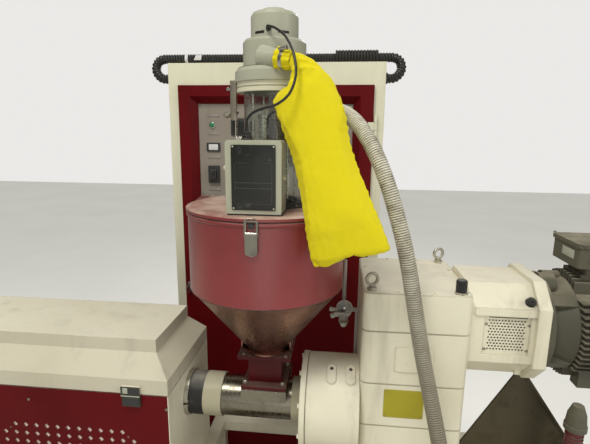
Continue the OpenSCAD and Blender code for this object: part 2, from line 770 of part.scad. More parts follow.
// Fan cowl: a thin drum lapping over the fins, its back cut into a grille round a hub
cowl_t = 3;
cowl_lap = 12;
cowl_back_t = 4;
cowl_bevel = 20;
cowl_hub_r = 26;
cowl_in_r = fin_r + seat;
grille_rings = 5;
grille_pitch = 22;
grille_r0 = 45;
grille_share = 0.38;
module motor_cowl() color("dimgray") difference() {
    translate([frame_x1 + seat, motor_y, motor_z]) rotate([0, 90, 0]) rotate_extrude() polygon([
        [0, 0], [0, cowl_l - seat], [cowl_in_r - cowl_bevel + 2, cowl_l - seat],
        [cowl_in_r + cowl_t, cowl_l - cowl_bevel - 6], [cowl_in_r + cowl_t, -cowl_lap],
        [cowl_in_r, -cowl_lap], [cowl_in_r, cowl_l - cowl_bevel - 8],
        [cowl_in_r - cowl_bevel, cowl_l - cowl_back_t],
        [cowl_hub_r, cowl_l - cowl_back_t], [cowl_hub_r, 0]]);
    for (i = [0 : grille_rings - 1], a = [0 : 30 : 330]) let(r = grille_r0 + i * grille_pitch)
        translate([motor_end - 12, motor_y, motor_z]) rotate([a, 0, 0])
            translate([0, -r * grille_share / 2, r]) cube([20, r * grille_share, grille_pitch / 2]);
}
module terminal_box() color("dimgray") translate([term_mid_x, motor_y - 2, term_z]) {
    linear_extrude(term_neck_h) round_rect(term_l * 0.6, term_pad_w, 10);
    translate([0, 0, term_neck_h - 1]) linear_extrude(term_h + 1) round_rect(term_l, term_w, 12);
    translate([0, 0, term_neck_h + term_h - 1]) linear_extrude(term_lid_h + 1)
        round_rect(term_l + 10, term_w + 10, 14);
}

// Folded triangular plate that carries the motor's flange
support_t = 10;
support_y = motor_y - 46;
support_fold = 36;
support_x0 = gear_x1 + 8;
support_x1 = base_x - 15;
support_slope = 1.68;
support_edge = 8;
support_foot_w = 60;
apex_x = flange_x0 + flange_t / 2;
apex_z = motor_z - flange_half;
module motor_support() color("gray") {
    along_y(support_y, support_y + support_t) polygon([
        [apex_x - 6, apex_z], [support_x0, apex_z - (apex_x - support_x0) * support_slope],
        [support_x0, base_h], [support_x1, base_h], [apex_x + support_edge, apex_z]]);
    along_y(support_y - support_fold, support_y + 1) polygon([
        [apex_x, apex_z], [support_x1 - support_edge, base_h],
        [support_x1, base_h], [apex_x + support_edge, apex_z]]);
    block([support_x0, support_y - support_fold, base_h],
        [support_x1, support_y + support_foot_w, base_h + support_t]);
}

// Corrugated conduit standing on the deck beside the motor
conduit_x = 972;
conduit_y = -100;
conduit_r = 24;
conduit_top = zb + 32;
conduit_rib_pitch = 12;
conduit_rib_w = 7;
module motor_conduit() color("brown") translate([conduit_x, conduit_y, base_h]) {
    ribs = floor((conduit_top - base_h - 20) / conduit_rib_pitch);
    cylinder(h = conduit_top - base_h, r = conduit_r - 3);
    for (i = [0 : ribs - 1])
        translate([0, 0, 8 + i * conduit_rib_pitch]) cylinder(h = conduit_rib_w, r = conduit_r);
    translate([0, 0, conduit_top - base_h]) {
        translate([0, 0, -1]) cylinder(h = 15, r = conduit_r + 8);
        translate([0, 0, 13]) cylinder(h = 38, r1 = conduit_r + 6, r2 = conduit_r + 2);
        translate([0, 0, 50]) cylinder(h = 28, r1 = conduit_r + 2, r2 = conduit_r - 8);
    }
}

// Feed throat and hopper
throat_wall = 12;
throat_half_d = throat_flange / 2 - 8;
module feed_throat() color("darkred") translate([0, 0, zb]) difference() {
    half = throat_w / 2;
    inner = half - throat_wall;
    union() {
        block([-saddle_l / 2, 2 - saddle_half_d, saddle_h],
            [saddle_l / 2, saddle_half_d - 2, saddle_h + throat_flange_t]);
        block([-half, -half, saddle_h + 1], [half, half, throat_top - 1]);
        block([-throat_flange / 2, -throat_half_d, throat_top - throat_flange_t],
            [throat_flange / 2, throat_half_d, throat_top]);
    }
    block([-inner, -inner, saddle_h - 1], [inner, inner, throat_top + 1]);
}

// Cone with its foot ring and two bolted angle gussets
cone_foot_r = throat_w / 2 + 6;
cone_foot_w = 16;
cone_r = hopper_r - 2;
gusset_x = 82;
gusset_h = 52;
gusset_t = 5;
gusset_w = 66;
gusset_foot = 15;
module hopper_cone() color("brown") translate([0, 0, zb]) {
    rotate_extrude() polygon([
        [cone_foot_r, throat_top], [cone_foot_r + cone_foot_w, throat_top],
        [cone_foot_r + cone_foot_w, throat_top + 6], [cone_foot_r + 6, throat_top + 8],
        [cone_r, cone_top], [cone_r - sheet_t, cone_top], [cone_foot_r, throat_top + 10]]);
    difference() {
        for (s = [0, 180]) rotate(s) translate([gusset_x, -gusset_w / 2, throat_top]) {
            translate([-gusset_t / 2, 0, 0]) cube([gusset_t, gusset_w, gusset_h]);
            translate([-gusset_foot, 0, 0]) cube([gusset_foot, gusset_w, gusset_t]);
        }
        rotate_extrude() polygon([
            [0, throat_top - 1], [cone_foot_r + 1, throat_top - 1], [cone_foot_r + 1, throat_top + 8],
            [cone_r - 1, cone_top], [0, cone_top]]);
    }
}
hopper_bead = 4;
module hopper_body() color("firebrick") translate([0, 0, zb]) rotate_extrude() polygon([
    [hopper_r - sheet_t, cone_top], [hopper_r, cone_top], [hopper_r, hopper_top - 22],
    [hopper_r + hopper_bead, hopper_top - 18], [hopper_r + hopper_bead, hopper_top - 12],
    [hopper_r, hopper_top - 8], [hopper_r, hopper_top - 6], [hopper_r - sheet_t, hopper_top - 6]]);
lid_hole_r = 60;
lid_seat_w = 10;
module hopper_lid() color("indianred") translate([0, 0, zb]) rotate_extrude() polygon([
    [lid_hole_r, hopper_top + 3], [lid_hole_r, hopper_top + lid_rise],
    [hopper_r - lid_seat_w, hopper_top + lid_rise], [hopper_r + 5, hopper_top + 3],
    [hopper_r + 5, hopper_top - 5], [hopper_r - lid_seat_w, hopper_top - 6],
    [hopper_r - lid_seat_w, hopper_top + 3]]);

// Toggle latch: base, lever with a round end, and a wire bail hooked over the rim
toggle_h = 96;
toggle_w = 35;
module toggle(r, z0, h, w) {
    lever_h = h * 0.62;
    block([r, -w / 2 + 3, z0 + 12], [r + 5, w / 2 - 3, z0 + lever_h]);
    translate([r + 4, 0, z0]) rotate([90, 0, 90]) linear_extrude(6) {
        translate([0, w / 4]) slot(w, w / 2);
        translate([-w / 2, w / 4]) square([w, lever_h - w / 4]);
    }
    for (s = [-1, 1]) block([r + 6, s * w / 2 - 2, z0 + lever_h - 8], [r + 10, s * w / 2 + 2, z0 + h]);
    block([r + 6, -w / 2 - 2, z0 + h - 4], [r + 10, w / 2 + 2, z0 + h]);
}
module hopper_latches() color("gainsboro") for (a = [-90, 30, 150]) rotate(a)
    toggle(hopper_r + seat, zb + hopper_top - toggle_h, toggle_h, toggle_w);

// Cooling water regulator on the gearbox's end: body, lever, bowl, and pipes up and down
valve_x = gear_x - 55;
valve_y = 100;
valve_rise = 300;
bowl_r = 28;
drain_r = 6;
drain_h = valve_rise - sqrt(pow(housing_r - 2, 2) - pow(valve_y - drain_r, 2)) - seat;
riser_h = 158;
module water_valve() color("gray") translate([valve_x, valve_y, zb + valve_rise]) {
    bar_x(0, gear_x - valve_x, 8);
    translate([gear_x - valve_x - 9, 0, -drain_h]) cylinder(h = drain_h, r = drain_r);
    bar_y(-14, 14, bowl_r);
    bar_y(-40, 0, 7);
    block([-34, -44, -5], [6, -36, 5]);
    translate([0, 0, -48]) cylinder(h = 30, r = 17);
    translate([0, 0, bowl_r - 4]) cylinder(h = riser_h, r = 7);
}

// Vacuum loader
module loader_base() color("dimgray") translate([loader_x, 0, loader_z]) difference() {
    union() {
        cylinder(h = 6, r = vessel_r + 22);
        cylinder(h = loader_base_h, r = vessel_r + 8);
    }
    translate([0, 0, -1]) cylinder(h = loader_base_h + 2, r = vessel_r - 20);
}
vessel_t = 5;
module loader_vessel() color("lightblue") translate([loader_x, 0, vessel_z]) difference() {
    cylinder(h = vessel_h, r = vessel_r);
    translate([0, 0, -1]) cylinder(h = vessel_h + 2, r = vessel_r - vessel_t);
}
ring_out_r = hood_r - 5;
ring_in_r = vessel_r - 8;
ring_groove = 4;
module loader_ring() color("white") translate([loader_x, 0, ring_z]) rotate_extrude() polygon([
    [ring_in_r, 0], [ring_out_r, 0], [ring_out_r, 12], [ring_out_r - ring_groove, 13],
    [ring_out_r - ring_groove, 15], [ring_out_r, 16], [ring_out_r, ring_h], [ring_in_r, ring_h]]);
nozzle_tip = [91, -126, 1107];
nozzle_dip = 9.8;
nozzle_turn = 25.8;
nozzle_l = 102;
module loader_hood() color("darkseagreen") {
    translate([loader_x, 0, 0]) rotate_extrude() polygon([
        [0, hood_z], [hood_r, hood_z], [hood_r, step_z - 12], [hood_r - 10, step_z],
        [hood_step_r, step_z], [hood_step_r, cap_z - 8], [hood_step_r - 6, cap_z], [0, cap_z]]);
    translate([nozzle_tip[0], nozzle_tip[1], zb + nozzle_tip[2]])
        rotate([0, 90 + nozzle_dip, -nozzle_turn])
            translate([0, 0, -nozzle_l]) cylinder(h = nozzle_l, r1 = 32, r2 = 21);
}
cap_top = cap_z + cap_h;
cap_slot = [10, 34, 4];
module loader_cap() color("darkseagreen") translate([loader_x, 0, 0]) difference() {
    rotate_extrude() polygon([
        [0, cap_z], [cap_r, cap_z], [cap_r, cap_top - 10], [cap_r - 6, cap_top],
        [44, cap_top + 4], [36, cap_top + 12], [0, cap_top + 14]]);
    for (a = [-60, -120, 30, 150]) rotate(a) translate([cap_r, 0, cap_z + 16]) cube(cap_slot, center = true);
}
gland_l = 14.4;
module cap_gland() color("black") translate(cord_points[0] + [0, seat, zb])
    rotate([-90, 0, 0]) cylinder(h = gland_l, r1 = 5, r2 = 8);

// Straps that pull the hood down on the vessel: upright strap, foot on the glass and a knob
strap_half_w = 12;
strap_low = 160;
strap_high = 40;
module loader_latches() color("gainsboro") for (a = [50, 180])
    translate([loader_x, 0, ring_z]) rotate(a) {
        block([hood_r + seat, -strap_half_w, -strap_low], [hood_r + 3, strap_half_w, strap_high]);
        block([vessel_r + seat, -strap_half_w, -strap_low], [hood_r + 1, strap_half_w, 30 - strap_low]);
        block([hood_r + 2, -8, -strap_low / 2], [hood_r + 15, 8, 16 - strap_low / 2]);
    }
module loader_inlet() color("silver") {
    bar_x(loader_x + vessel_r + seat, hose_points[0][0] - seat, hose_d / 2 - 1, hose_points[0][1],
        zb + hose_points[0][2]);
    bar_x(loader_x + vessel_r + seat, loader_x + vessel_r + 8, hose_d / 2 + 9, hose_points[0][1],
        zb + hose_points[0][2]);
}
box_z = loader_z + seat;
box_x0 = -77;
box_y = -220;
box_corner = 10;
module control_box() color("ivory") {
    translate([box_x0 + box_w / 2, 0, box_z + box_h / 2]) along_y(box_y, box_y + box_d)
        round_rect(box_w, box_h, box_corner);
    translate([box_x0 + 52, box_y + 42, box_z + box_h - 1]) {
        cylinder(h = 9, r = 13);
        cylinder(h = 20, r = 8);
    }
}

// Dust bag: rings of a closed soft form from the nozzle down to the flat foot
bag_rings = [[91.3, -126.2, 1107, 20, 20, -80.2, -25.8], [104, -136, 1098, 28, 26, -66, -22],
    [113, -148, 1072, 52, 30, -34, -8], [124, -158, 1026, 84, 35, -20, 0], [153, -167, 950, 90, 44, -16, 0],
    [181, -186, 860, 84, 46, -16, 0], [210, -214, 770, 88, 45, -16, 0], [239, -244, 680, 96, 41, -16, 0],
    [264, -254, 604, 103, 30, -12, 0], [270, -255, 574, 96, 10, -10, 0]];
bag_sides = 20;
function bag_point(ring, k) =
    let(a = 360 * k / bag_sides, u = ring[3] * cos(a), v = ring[4] * sin(a),
        across = u * cos(ring[5]), turn = ring[6])
    [ring[0] + across * cos(turn) - v * sin(turn), ring[1] + across * sin(turn) + v * cos(turn),
        zb + ring[2] - u * sin(ring[5])];
module loft(rings, sides, points) {
    n = len(rings);
    polyhedron(points = points, convexity = 4, faces = concat(
        [[for (k = [0 : sides - 1]) k]],
        [[for (k = [sides - 1 : -1 : 0]) (n - 1) * sides + k]],
        [for (i = [0 : n - 2], k = [0 : sides - 1])
            [i * sides + k, (i + 1) * sides + k, (i + 1) * sides + (k + 1) % sides,
                i * sides + (k + 1) % sides]]));
}
module dust_bag() color("yellow")
    loft(bag_rings, bag_sides, [for (ring = bag_rings, k = [0 : bag_sides - 1]) bag_point(ring, k)]);

// Free cords: rings swept along a smooth line through hand-placed points
function spline(p, i, t) =
    let(a = p[max(i - 1, 0)], b = p[i], c = p[i + 1], d = p[min(i + 2, len(p) - 1)])
    0.5 * (2 * b + (c - a) * t + (2 * a - 5 * b + 4 * c - d) * t * t + (3 * b - a - 3 * c + d) * t * t * t);
function route(p, steps) = concat(
    [for (i = [0 : len(p) - 2], k = [0 : steps - 1]) spline(p, i, k / steps)],
    [p[len(p) - 1]]);
function unit(v) = v / norm(v);
function heading(p, i) = unit(p[min(i + 1, len(p) - 1)] - p[max(i - 1, 0)]);
function ring_point(p, i, r, turn, up) =
    let(h = heading(p, i), u = unit(cross(h, up)), v = cross(h, u))
    p[i] + r * (u * cos(turn) + v * sin(turn));
module tube(p, r, sides, up) loft(p, sides, [for (i = [0 : len(p) - 1], k = [0 : sides - 1])
    ring_point(p, i, r, 360 * k / sides, up)]);
cord_d = 7;
cord_points = [[18, -86, 1203], [22, -104, 1202], [48, -126, 1190], [80, -160, 1160],
    [104, -192, 1112], [112, -214, 1058], [98, -228, 1012], [68, -230, 986], [34, -224, 976],
    [2, -208, 966], [-20, -190, 950], [-25, -180, 932], [-25, -178, 912.6]];
module power_cord() color("black")
    tube([for (q = route(cord_points, 2)) q + [0, 0, zb]], cord_d / 2, 8, [0.6, 0.6, -0.5]);
hose_d = 45;
hose_points = [[150, -10, 985], [190, -10, 985], [232, -32, 975], [270, -75, 948],
    [305, -120, 900], [338, -155, 836], [365, -175, 768], [390, -190, 690], [410, -200, 620],
    [430, -204, 535], [455, -206, 410], [478, -210, 300], [498, -215, 214], [533, -250, 54],
    [556, -282, -80], [580, -315, -210], [604, -337, -340], [630, -350, -480], [662, -362, -620],
    [706, -382, -750], [766, -405, -862], [842, -420, -938], [925, -425, -974], [1010, -425, -974]];
module suction_hose() color("lightgray")
    tube([for (q = hose_points) q + [0, 0, zb]], hose_d / 2, 10, [0.31, 0.92, 0.24]);
lance_r = 19;
lance_t = 2;
lance_l = 390;
hose_end = hose_points[len(hose_points) - 1];
module suction_lance() color("silver") translate(hose_end + [0, 0, zb]) difference() {
    bar_x(seat, lance_l, lance_r);
    bar_x(0, lance_l + 1, lance_r - lance_t);
}

// Control cabinet
module cabinet_plinth() color("dimgray")
    block([cab_x(-0.5) + 10, cab_y + 10, 0], [cab_x(0.5) - 10, cab_y + cab_d - 10, plinth_h]);
front_frame_d = 30;
door_lap = 25;
module cabinet_shell() color("ivory") difference() {
    block([cab_x(-0.5), cab_y, plinth_h], [cab_x(0.5), cab_y + cab_d, cab_h]);
    block([cab_x(-0.5) + cab_t, cab_y + front_frame_d, plinth_h + cab_t],
        [cab_x(0.5) - cab_t, cab_y + cab_d - cab_t, cab_h - cab_t]);
    block([door_x0 + door_lap, cab_y - 1, door_z0 + door_lap],
        [door_x1 - door_lap, cab_y + front_frame_d + 1, door_z1 - door_lap]);
}

// Door with a bevelled recess that holds the instrument panel
recess_x0 = door_x0 + 51;
recess_x1 = door_x1 - 58;
recess_z1 = door_z1 - 49;
recess_h = 500;
recess_z0 = recess_z1 - recess_h;
recess_bevel = 32;
recess_t = 4;
module cabinet_door() color("darkred") difference() {
    union() {
        block([door_x0, door_y, door_z0], [door_x1, door_y + door_t, door_z1]);
        block([recess_x0 - 2, door_y + 1, recess_z0 - 2],
            [recess_x1 + 2, door_y + recess_d + recess_t, recess_z1 + 2]);
    }
    hull() {
        block([recess_x0, door_y - 0.1, recess_z0], [recess_x1, door_y, recess_z1]);
        block([recess_x0 + recess_bevel, door_y + recess_d, recess_z0 + recess_bevel],
            [recess_x1 - recess_bevel, door_y + recess_d + 0.1, recess_z1 - recess_bevel]);
    }
    block([recess_x0 + recess_bevel, door_y + recess_d - 1, recess_z0 + recess_bevel],
        [recess_x1 - recess_bevel, door_y + recess_d + recess_t + 1, recess_z1 - recess_bevel]);
}
panel_lap = 10;
instrument_t = 3;
module instrument_panel() color("lightgray") {
    inset = recess_bevel - panel_lap;
    y = door_y + recess_d + recess_t;
    block([recess_x0 + inset, y, recess_z0 + inset],
        [recess_x1 - inset, y + instrument_t, recess_z1 - inset]);
}

// Door hinges: two knuckles on the cabinet, one on the door's leaf between them
hinge_z = [door_z0 + 200, (door_z0 + door_z1) / 2, door_z1 - 180];
hinge_half_h = 51;
door_knuckle_h = 36;
knuckle_h = 32;
module cabinet_hinges() color("black") for (z = hinge_z) translate([door_pin_x, door_pin_y, z]) {
    to_cabinet = cab_y - door_pin_y;
    translate([0, 0, -hinge_half_h]) cylinder(h = 2 * hinge_half_h, r = door_pin_r);
    for (low = [-hinge_half_h, hinge_half_h - knuckle_h]) translate([0, 0, low]) {
        cylinder(h = knuckle_h, r = door_knuckle_r);
        block([0, -4, 0], [door_knuckle_r, to_cabinet, knuckle_h]);
    }
    block([door_knuckle_r - 2, 12, -hinge_half_h], [door_knuckle_r + 2, to_cabinet, hinge_half_h]);
}
module door_hinge_leaves() color("black") for (z = hinge_z)
    translate([door_pin_x, door_pin_y, z - door_knuckle_h / 2]) difference() {
        union() {
            cylinder(h = door_knuckle_h, r = door_knuckle_r);
            block([door_x1 - 24 - door_pin_x, door_y - leaf_t - door_pin_y, 0],
                [0, door_y - door_pin_y, door_knuckle_h]);
        }
        translate([0, 0, -1]) cylinder(h = door_knuckle_h + 2, r = door_pin_r + run);
    }

// Conduit over the cabinet's top that bends back into both side walls
conduit_bend = 45;
conduit_pipe_r = 20;
conduit_sleeve_r = 28;
conduit_out = 24;
sleeve_l = 190;
sleeve_end = 60;
collar_t = 12;
module cabinet_conduit() color("black") translate([cab_mid, cab_y + 34, cab_h + conduit_pipe_r + 2 + seat]) {
    wall = cab_w / 2;
    reach = wall + conduit_out;
    bar_x(-reach, reach, conduit_pipe_r);
    bar_x(reach - sleeve_end - sleeve_l, reach - sleeve_end, conduit_sleeve_r, 0,
        conduit_sleeve_r - conduit_pipe_r - 2);
    for (s = [-1, 1]) {
        translate([s * reach, 0, -conduit_bend]) rotate([90, 0, 0]) rotate(-90 * s)
            rotate_extrude(angle = 180) translate([conduit_bend, 0]) circle(r = conduit_pipe_r);
        bar_x(min(s * wall, s * reach), max(s * wall, s * reach), conduit_pipe_r, 0, -2 * conduit_bend);
        bar_x(min(s * wall, s * (wall + collar_t)), max(s * wall, s * (wall + collar_t)),
            conduit_pipe_r + 8, 0, -2 * conduit_bend);
    }
}

// Floor duct from the drive base to the cabinet
duct_cover_w = 100;
duct_cover_h = 60;
module cable_duct() color("dimgray") {
    block([gear_x, base_w / 2, 0], [gear_x + duct_cover_w, cab_y + 10, duct_cover_h]);
    block([gear_x, base_w / 2, 1],
        [gear_x + duct_cover_w, base_w / 2 + duct_cover_h, base_low + rail_h]);
}

placed() base_frame();
placed() base_skirts();
placed() stand_frame();
placed() stand_panels();
placed() stand_end_walls();
placed() barrel_cover();
placed() cover_hinges();
placed() cover_hinge_leaves();
placed() cover_latches();
placed() barrel();
placed() screw();
placed() screw_flight();
placed() die_flange();
placed() barrel_heaters();
placed() zone_blowers();
placed() barrel_clamp();
placed() seal_ring();
placed() jacket_ring();
placed() bearing_housing();
placed() gearbox_lower();
placed() gearbox_middle();
placed() gearbox_upper();
placed() gearbox_top();
placed() gearbox_fittings();
placed() lantern();
placed() lantern_guards();
placed() shaft_coupling();
placed() motor_shield();
placed() motor_frame();
placed() motor_cowl();
placed() terminal_box();
placed() motor_support();
placed() motor_conduit();
placed() feed_throat();
placed() hopper_cone();
placed() hopper_body();
placed() hopper_lid();
placed() hopper_latches();
placed() water_valve();
placed() loader_base();
placed() loader_vessel();
placed() loader_ring();
placed() loader_hood();
placed() loader_cap();
placed() cap_gland();
placed() loader_latches();
placed() loader_inlet();
placed() dust_bag();
placed() control_box();
placed() power_cord();
placed() suction_hose();
placed() suction_lance();
placed() cabinet_shell();
placed() cabinet_plinth();
placed() cabinet_door();
placed() instrument_panel();
placed() cabinet_hinges();
placed() door_hinge_leaves();
placed() cabinet_conduit();
placed() cable_duct();
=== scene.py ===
"""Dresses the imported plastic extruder: camera, cords, soft bag, small fittings and materials."""
from itertools import product
from math import atan2, cos, exp, pi, radians, sin

import bmesh
import bpy
from mathutils import Matrix, Vector
from mathutils.bvhtree import BVHTree


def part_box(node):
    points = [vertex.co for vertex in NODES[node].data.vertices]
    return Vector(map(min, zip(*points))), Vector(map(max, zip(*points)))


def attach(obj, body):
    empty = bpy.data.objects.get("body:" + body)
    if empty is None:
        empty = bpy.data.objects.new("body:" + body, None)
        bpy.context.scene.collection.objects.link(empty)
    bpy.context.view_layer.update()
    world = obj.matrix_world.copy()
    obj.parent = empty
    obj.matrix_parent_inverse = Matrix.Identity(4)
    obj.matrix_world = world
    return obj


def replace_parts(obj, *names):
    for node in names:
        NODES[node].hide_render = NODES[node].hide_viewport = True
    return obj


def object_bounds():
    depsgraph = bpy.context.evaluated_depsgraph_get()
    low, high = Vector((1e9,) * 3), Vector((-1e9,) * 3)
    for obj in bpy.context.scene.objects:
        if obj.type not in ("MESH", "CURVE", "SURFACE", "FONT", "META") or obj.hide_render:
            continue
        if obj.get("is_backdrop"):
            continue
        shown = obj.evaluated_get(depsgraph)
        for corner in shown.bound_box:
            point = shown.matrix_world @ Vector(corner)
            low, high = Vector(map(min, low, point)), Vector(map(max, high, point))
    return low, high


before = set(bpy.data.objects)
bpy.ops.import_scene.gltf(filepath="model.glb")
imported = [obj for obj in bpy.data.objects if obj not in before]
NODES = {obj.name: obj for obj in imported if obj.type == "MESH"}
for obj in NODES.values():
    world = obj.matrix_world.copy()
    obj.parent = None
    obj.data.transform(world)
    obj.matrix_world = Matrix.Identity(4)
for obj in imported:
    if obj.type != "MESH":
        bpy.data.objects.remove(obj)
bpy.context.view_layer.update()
scene = bpy.context.scene
scene.view_settings.view_transform = "Standard"

# The machine's own zero: hopper axis and barrel centreline
HOPPER_LOW, HOPPER_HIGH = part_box("hopper_body")
ZERO = Vector(((HOPPER_LOW.x + HOPPER_HIGH.x) / 2, (HOPPER_LOW.y + HOPPER_HIGH.y) / 2, 1.0))


def at(x, y, z):
    """A point given in millimetres from the hopper axis and the barrel centreline."""
    return ZERO + Vector((x, y, z)) / 1000


def given(target, **values):
    """The same thing with named properties set."""
    for key, value in values.items():
        setattr(target, key, value)
    return target


def linked(name, data):
    """A new object in the scene."""
    made = bpy.data.objects.new(name, data)
    scene.collection.objects.link(made)
    return made


# Camera, fitted to the photograph
FOCAL_PIXELS = 437.49
PHOTO_WIDTH = 590
SENSOR_WIDTH = 36
CAMERA_PLACE = (235.65, -1377.39, 910.9)
PITCH = radians(11.41)
YAW = radians(6.0)
ROLL = radians(0.53)
forward = Vector((-sin(YAW) * cos(PITCH), cos(YAW) * cos(PITCH), -sin(PITCH)))
right = Vector((cos(YAW), sin(YAW), 0))
up = right.cross(forward)
right_rolled = right * cos(ROLL) + up * sin(ROLL)
up_rolled = up * cos(ROLL) - right * sin(ROLL)
lens = FOCAL_PIXELS / PHOTO_WIDTH * SENSOR_WIDTH
camera = linked("camera", given(bpy.data.cameras.new("camera"), lens=lens, clip_start=0.05, clip_end=60))
turn = Matrix((right_rolled, up_rolled, -forward)).transposed().to_4x4()
camera.matrix_world = Matrix.Translation(at(*CAMERA_PLACE)) @ turn
scene.camera = camera


# Materials
class Net:
    """Builds one material's node tree."""

    def __init__(self, name):
        self.mat = bpy.data.materials.new(name)
        self.mat.use_nodes = True
        self.tree = self.mat.node_tree
        self.shader = self.tree.nodes["Principled BSDF"]
        self.coord = self.node("TexCoord").outputs["Object"]

    def node(self, kind, settings=None, **inputs):
        made = given(self.tree.nodes.new("ShaderNode" + kind), **(settings or {}))
        for key, value in inputs.items():
            self.put(made.inputs[key.replace("_", " ")], value)
        return made

    def put(self, socket, value):
        if isinstance(value, bpy.types.NodeSocket):
            self.tree.links.new(value, socket)
        else:
            socket.default_value = (*value, 1.0) if socket.type == "RGBA" else value

    def set(self, **inputs):
        for key, value in inputs.items():
            self.put(self.shader.inputs[key.replace("_", " ")], value)

    def noise(self, scale, detail, roughness=0.55, stretch=None, distortion=0.0):
        where = self.coord
        if stretch:
            where = self.node("Mapping", Vector=self.coord, Scale=stretch).outputs["Vector"]
        made = self.node("TexNoise", Vector=where, Scale=scale, Detail=detail, Roughness=roughness,
                         Distortion=distortion)
        return made.outputs["Fac"]

    def ramp(self, value, low, high, to_low=0.0, to_high=1.0):
        made = self.node("MapRange", {"interpolation_type": "SMOOTHSTEP"}, Value=value, From_Min=low,
                         From_Max=high, To_Min=to_low, To_Max=to_high)
        return made.outputs["Result"]

    def math(self, operation, a, b=0.0):
        made = self.node("Math", {"operation": operation})
        self.put(made.inputs[0], a)
        self.put(made.inputs[1], b)
        return made.outputs[0]

    def times(self, a, b):
        return self.math("MULTIPLY", a, b)

    def mix(self, factor, a, b):
        made = self.node("Mix", {"data_type": "RGBA"})
        for k, value in ((0, factor), (6, a), (7, b)):
            self.put(made.inputs[k], value)
        return made.outputs[2]

    def level(self):
        """1 where the surface faces up, 0 where it stands."""
        normal = self.node("NewGeometry").outputs["Normal"]
        return self.ramp(self.node("SeparateXYZ", Vector=normal).outputs["Z"], 0.55, 0.98)

    def bump(self, height, distance, strength, round_edge=0.0):
        made = self.node("Bump", Height=height, Distance=distance, Strength=strength)
        if round_edge:
            edge = self.node("Bevel", {"samples": 4}, Radius=round_edge)
            self.put(made.inputs["Normal"], edge.outputs["Normal"])
        self.put(self.shader.inputs["Normal"], made.outputs["Normal"])


def tinted(colour, *shares):
    """A colour with each channel cut to its share."""
    return tuple(c * share for c, share in zip(colour, shares))


def enamel(name, colour, dark, rough=0.36, coat=0.12, dust=0.5, grime=0.35, edge=0.003, peel=0.0002,
           dust_colour=(0.62, 0.58, 0.50), gloss=0.35, soil=(0.16, 0.12, 0.085), upright_shade=0.0):
    """Paint with orange peel, faded patches, grime and dust on level faces; standing faces can be darkened
    towards the soil colour as painted shade.
    """
    net = Net(name)
    patches = net.noise(2.6, 5.0)
    tone = net.mix(net.ramp(patches, 0.35, 0.75), colour, dark)
    runs = net.ramp(net.noise(9.0, 6.0, 0.65, stretch=(1.0, 1.0, 0.12)), 0.52, 0.78, 0.0, grime)
    tone = net.mix(runs, tone, soil)
    specks = net.ramp(net.noise(160.0, 2.0), 0.70, 0.78, 0.0, grime)
    tone = net.mix(specks, tone, tinted(soil, 0.6, 0.6, 0.6))
    # Painted shade: standing faces are darkened towards the soil colour.
    if upright_shade:
        upright_shade_mask = net.times(net.math("SUBTRACT", 1.0, net.level()), upright_shade)
        tone = net.mix(upright_shade_mask, tone, soil)
    lying = net.times(net.level(), net.ramp(net.noise(14.0, 6.0, 0.6), 0.30, 0.66, dust * 0.35, dust))
    tone = net.mix(lying, tone, dust_colour)
    crumbs = net.times(net.level(), net.ramp(net.noise(70.0, 3.0, 0.7), 0.66, 0.72, 0.0, dust))
    tone = net.mix(crumbs, tone, (0.26, 0.22, 0.17))
    net.set(Base_Color=tone, Coat_Weight=coat, Coat_Roughness=0.25, Specular_IOR_Level=gloss)
    shine = net.math("ADD", net.ramp(net.noise(7.0, 5.0), 0.3, 0.8, rough - 0.05, rough + 0.12), lying)
    net.set(Roughness=net.math("MINIMUM", shine, 0.9))
    net.bump(net.noise(420.0, 2.0), peel, 0.5, edge)
    return net.mat


def metal(name, colour, rough=0.28, brushed=None, stain=0.3, edge=0.0015, tooth=0.00008):
    """Bare metal with tool or brush marks, stains and fingerprints."""
    net = Net(name)
    stains = net.ramp(net.noise(11.0, 6.0, 0.6), 0.48, 0.78, 0.0, stain)
    net.set(Base_Color=net.mix(stains, colour, tinted(colour, 0.42, 0.38, 0.33)), Metallic=1.0)
    marks = net.noise(220.0, 3.0, 0.6, stretch=brushed or (1.0, 1.0, 1.0))
    rubbed = net.math("ADD", net.ramp(marks, 0.3, 0.7, rough - 0.05, rough + 0.07), net.times(stains, 0.5))
    net.set(Roughness=rubbed)
    net.bump(marks, tooth, 0.45, edge)
    return net.mat


def moulded(name, colour, rough=0.5, dust=0.25, coat=0.0):
    """Plastic or rubber with a fine grain, scuffs and settled dust."""
    net = Net(name)
    scuffs = net.ramp(net.noise(34.0, 6.0, 0.7), 0.58, 0.74, 0.0, 0.35)
    paler = (colour[0] * 0.6 + 0.16, colour[1] * 0.6 + 0.155, colour[2] * 0.6 + 0.15)
    tone = net.mix(scuffs, colour, paler)
    lying = net.times(net.level(), net.ramp(net.noise(20.0, 5.0), 0.3, 0.7, dust * 0.3, dust))
    net.set(Base_Color=net.mix(lying, tone, (0.55, 0.50, 0.45)), Coat_Weight=coat)
    net.set(Roughness=net.ramp(net.noise(9.0, 4.0), 0.3, 0.8, rough - 0.08, rough + 0.12))
    net.bump(net.noise(380.0, 2.0), 0.00015, 0.5, 0.0015)
    return net.mat


def glass():
    """Clear glass, hazy with dust in patches."""
    net = Net("vessel_glass")
    cloud = net.ramp(net.noise(16.0, 6.0, 0.6, stretch=(1.0, 1.0, 0.4)), 0.4, 0.8, 0.0, 0.25)
    net.set(Base_Color=(0.86, 0.90, 0.88), Transmission_Weight=1.0, IOR=1.45)
    net.set(Roughness=net.math("ADD", cloud, 0.03))
    net.bump(net.noise(60.0, 2.0), 0.0001, 0.3)
    return net.mat


